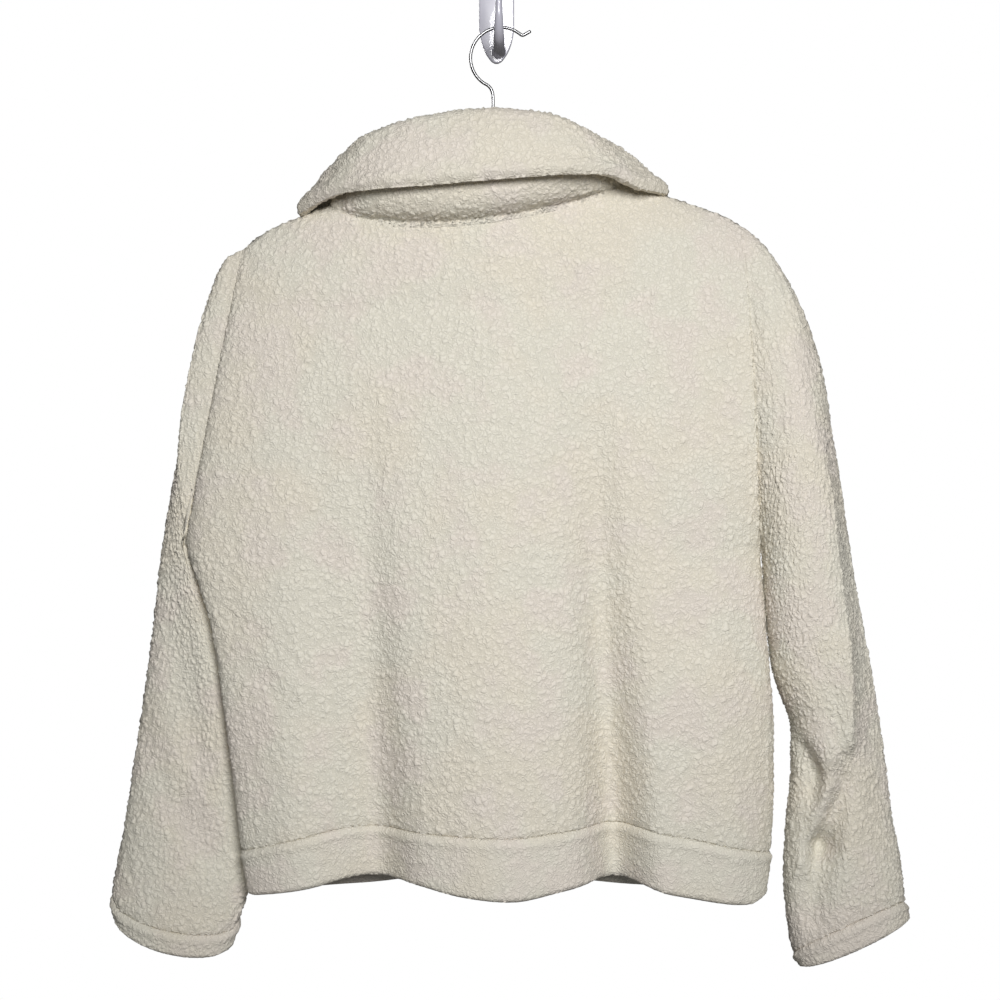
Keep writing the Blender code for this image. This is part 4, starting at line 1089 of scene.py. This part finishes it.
def tube(path, across, halves, sides):
    """Points and faces of a bar along a flat path; `across` is square to the path's plane."""
    path = np.asarray(path, float)
    halves = np.broadcast_to(np.asarray(halves, float), (len(path), 2))
    other = unit(np.cross(unit(np.gradient(path, axis=0)), across))
    angles = 2 * np.pi * np.arange(sides) / sides
    rings = [
        centre + np.outer(np.cos(angles) * half[0], across) + np.outer(np.sin(angles) * half[1], side)
        for centre, side, half in zip(path, other, halves)
    ]
    return lofted(rings)


def lofted(rings):
    """Points and faces of a closed shape through rings of as many points."""
    rings = np.asarray(rings, float)
    count, n = rings.shape[:2]
    faces = []
    for i in range(count - 1):
        for k in range(n):
            faces.append((i * n + k, i * n + (k + 1) % n, (i + 1) * n + (k + 1) % n, (i + 1) * n + k))
    faces += [(0, k + 1, k) for k in range(1, n - 1)]
    last = (count - 1) * n
    faces += [(last, last + k, last + k + 1) for k in range(1, n - 1)]
    return rings.reshape(-1, 3), faces


def tip_round(run, half):
    """Shares of its thickness along a bar that rounds off at the far end of its run."""
    near = np.clip((run[-1] - run) / half, LEAST_TIP, 1)
    return np.sqrt(1 - (1 - near) ** 2)


def wire_hook(finish):
    """The hanger's wire: a stem out of its bar, a ring and a tip."""
    ring_x, ring_z, radius = WIRE_RING
    turns = np.radians(np.linspace(*WIRE_TURN, RING_POINTS))
    ring = [(ring_x + radius * math.cos(turn), ring_z + radius * math.sin(turn)) for turn in turns]
    foot_x = WIRE_STEM[0][0]
    line = [(foot_x, float(bar_top(foot_x)) + WIRE_LIFT), *WIRE_STEM, *ring, WIRE_TIP]
    path = np.array([(x, 0, z) for x, z in line])
    run = run_along(path)
    steps = np.linspace(0, run[-1], WIRE_STEPS)
    smooth = sampled(steps, run, path)
    for _ in range(WIRE_PASSES):
        smooth[1:-1] = (smooth[:-2] + 2 * smooth[1:-1] + smooth[2:]) / 4
    size = WIRE * tip_round(steps, WIRE_TIP_ROUND)
    points, faces = tube(smooth, (0, 1, 0), np.stack([size, size], axis=-1), WIRE_SIDES)
    wire = added("hanger_wire", closed_mesh("hanger_wire", points, faces), finish)
    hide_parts("hanger_hook")
    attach(wire, "pullover")


def plate_rings():
    """Rings of the wall hook's plate, from the wall to its rounded face."""
    z = np.linspace(PLATE[0][0], PLATE[-1][0], PLATE_ROWS)
    half = through(PLATE, z)
    right = np.stack([PLATE_X + half, z], axis=-1)
    left = np.stack([PLATE_X - half, z], axis=-1)[::-1]
    outline = np.concatenate([right, left])
    middle = np.array((PLATE_X, (PLATE[0][0] + PLATE[-1][0]) / 2))
    halves = np.abs(outline - middle).max(axis=0)
    depths = [(0, 0)] + [
        (PLATE_THICK - PLATE_EDGE * (1 - math.sin(turn)), PLATE_EDGE * (1 - math.cos(turn)))
        for turn in np.linspace(0, np.pi / 2, PLATE_EDGE_ROWS)
    ]
    rings = []
    for deep, inset in depths:
        drawn = middle + (outline - middle) * (1 - inset / halves)
        rings.append([(x, WALL_Y - deep, z) for x, z in drawn])
    return rings


def wall_hook(finish):
    """The wall hook's plate and its arm."""
    plate = added("hook_plate", closed_mesh("hook_plate", *lofted(plate_rings())), finish)
    steps = np.linspace(0, len(ARM) - 1, ARM_STEPS)
    y, z, half_x, half_y = (through(numbered(ARM), steps, column) for column in range(1, 5))
    path = np.stack([np.full(len(y), ARM_X), y, z], axis=-1)
    tip = tip_round(run_along(path), ARM_TIP_ROUND)
    arm = tube(path, (1, 0, 0), np.stack([half_x * tip, half_y * tip], axis=-1), ARM_SIDES)
    prong = added("hook_arm", closed_mesh("hook_arm", *arm), finish)
    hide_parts("wall_hook")
    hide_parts("wall_hook")
    for thing in (plate, prong):
        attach(thing, "pullover")


def edge_path(cloth, column, neighbour, first):
    """Up the cloth's edge from row `first`: the wall's middle, and the way out of it."""
    middle = (cloth.outer[first:, column] + cloth.inner[first:, column]) / 2
    return middle, unit(cloth.grid[first:, column] - cloth.grid[first:, neighbour])


def teeth_lines(front, collar_cloth):
    """A mesh of two lines up the zip's edges, with a point for each tooth. They are half a pitch apart."""
    left, foot = front.slit
    points, ways_out, edges = [], [], []
    # On each side: the front's column at the slit and the one beside it, then the collar's.
    for side, column, outer, end, inner in ((0, left, left - 1, 0, 1), (1, left + 1, left + 2, -1, -2)):
        low = edge_path(front, column, outer, foot)
        high = edge_path(collar_cloth, end, inner, 1)
        middle, way_out = (np.concatenate([a[:-1], b]) for a, b in zip(low, high))
        run = run_along(middle)
        at = np.arange(TEETH_START + side * TOOTH_PITCH / 2, run[-1] - TEETH_END, TOOTH_PITCH)
        edges += [(len(points) + k, len(points) + k + 1) for k in range(len(at) - 1)]
        points += sampled(at, run, middle).tolist()
        ways_out += sampled(at, run, way_out).tolist()
    mesh = bpy.data.meshes.new("zip_teeth")
    mesh.from_pydata(place(np.array(points)).tolist(), edges, [])
    keep_vectors(mesh, "way_out", ways_out)
    return mesh


def one_tooth():
    """A tooth by itself: x out of the tape, z along it."""
    corners = ((-1, -1), (1, -1), (1, 1), (-1, 1))
    rings = [[(reach, deep * b, wide * a) for a, b in corners] for reach, wide, deep in TOOTH]
    points, faces = lofted(rings)
    mesh = bpy.data.meshes.new("tooth")
    mesh.from_pydata((points / METRE).tolist(), [], [face[::-1] for face in faces])
    return added("tooth", mesh)


def toothed(graph, lines, tooth):
    """Sets a tooth on each point of the lines, turned to the line and out of it."""
    curve = graph.term("GeometryNodeMeshToCurve", None, {"Mesh": lines})
    model = graph.term("GeometryNodeObjectInfo", None, {"Object": tooth}, "Geometry")
    along, way_out = graph.term("GeometryNodeInputTangent"), graph.attribute("way_out")
    axes = {"primary_axis": "Z", "secondary_axis": "X"}
    turn = graph.term("FunctionNodeAxesToRotation", axes, {"Primary Axis": along, "Secondary Axis": way_out})
    sockets = {"Points": curve, "Instance": model, "Rotation": turn}
    return graph.term("GeometryNodeInstanceOnPoints", None, sockets)


def zip_teeth(front, collar_cloth, finish):
    """The teeth up both edges of the slit and of the collar."""
    inputs = {"Lines": "Geometry", "Tooth": "Object", "Finish": "Material"}
    tooth = one_tooth()
    teeth = added("zip_teeth", teeth_lines(front, collar_cloth))
    made_plain(teeth, grown("zip teeth", inputs, toothed), Tooth=tooth, Finish=finish)
    bpy.data.objects.remove(tooth)
    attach(teeth, "pullover")


def dressed(node, finish):
    """A CAD node that stays, with a better finish."""
    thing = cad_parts[node]
    thing.data.materials.clear()
    thing.data.materials.append(finish)


# ---------------------------------------------------------------- light, camera and floor


def floor():
    """A pale floor under the object."""
    mesh = bpy.data.meshes.new("floor")
    x, y = FLOOR_HALF
    corners = ((-x, -y), (x, -y), (x, y), (-x, y))
    mesh.from_pydata([(*corner, FLOOR_Z) for corner in corners], [], [(0, 1, 2, 3)])
    finish, _, shader = finish_of("floor", FLOOR_ROUGHNESS)
    shader.inputs["Base Color"].default_value = (*FLOOR_COLOUR, 1)
    added("floor", mesh, finish)


def air():
    """White behind everything for the camera, and a faint even light for the rest."""
    world = bpy.data.worlds.new("studio")
    bpy.context.scene.world = world
    world.use_nodes = True
    graph = Graph(world.node_tree)
    seen = graph.term("ShaderNodeLightPath", output="Is Camera Ray")
    strength = seen * (SEEN_WHITE - WORLD_LIGHT) + WORLD_LIGHT
    light = graph.term("ShaderNodeBackground", None, {"Color": (1, 1, 1, 1), "Strength": strength})
    graph.node("ShaderNodeOutputWorld", None, {"Surface": light})


def lamps():
    """Lamps whose soft cones fade towards their edge."""
    for name, at, aim, size, power, cone in LIGHTS:
        lamp = bpy.data.lights.new(name, "SPOT")
        lamp.shadow_soft_size, lamp.energy = size / 2, power
        lamp.spot_size, lamp.spot_blend = math.radians(cone), CONE_BLEND
        thing = added(name, lamp)
        thing.location = at
        direction = np.subtract(aim, at)
        thing.rotation_euler = (
            math.atan2(math.hypot(direction[0], direction[1]), -direction[2]), 0,
            math.atan2(-direction[0], direction[1]),
        )


def camera():
    """A level camera in front of the back panel."""
    lens = bpy.data.cameras.new("camera")
    lens.lens, lens.sensor_width = SENSOR / 2 * SEEN_AT / SEEN_HALF, SENSOR
    lens.clip_end = CLIP_END
    thing = added("camera", lens)
    thing.location, thing.rotation_euler = CAMERA_AT, (math.pi / 2, 0, 0)
    bpy.context.scene.camera = thing


# ---------------------------------------------------------------- the whole object

bpy.context.scene.view_settings.view_transform = "Standard"
floor()
air()
lamps()
camera()

PILE_INPUTS = {"Cloth": "Geometry", "Curl": "Float", "Height": "Float", "Finish": "Material"}
PILE = grown("sherpa pile", PILE_INPUTS, piled)
FLEECES = {kind: fleece_finish("sherpa " + kind, curl, depth) for kind, (curl, _, depth) in PILES.items()}
back, front, made_collar = panel("back"), panel("front"), collar_piece()
made = {
    "back_panel": cloth_object(back, "body", flat_sides(back)),
    "front_panel": cloth_object(front, "body", flat_sides(front)),
    "hem_band_back": cloth_object(hem_band("back"), "hem"),
    "hem_band_front": cloth_object(hem_band("front"), "hem"),
    "collar": cloth_object(made_collar, "collar", behind=1.0),
}
for side in ("left", "right"):
    whole, cuff = sleeve_pieces(side)
    made["sleeve_" + side] = cloth_object(whole, "body", flat_start(whole))
    made["cuff_hem_" + side] = cloth_object(cuff, "hem")
for name, thing in made.items():
    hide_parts(name)
    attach(thing, "pullover")

finishes = {name: hard_finish(name) for name in HARD}
finishes["zip tape"] = woven_finish("zip tape")
zip_teeth(front, made_collar, finishes["zip metal"])
wire_hook(finishes["chrome"])
wall_hook(finishes["white plastic"])
for node, finish in DRESSED.items():
    dressed(node, finishes[finish])
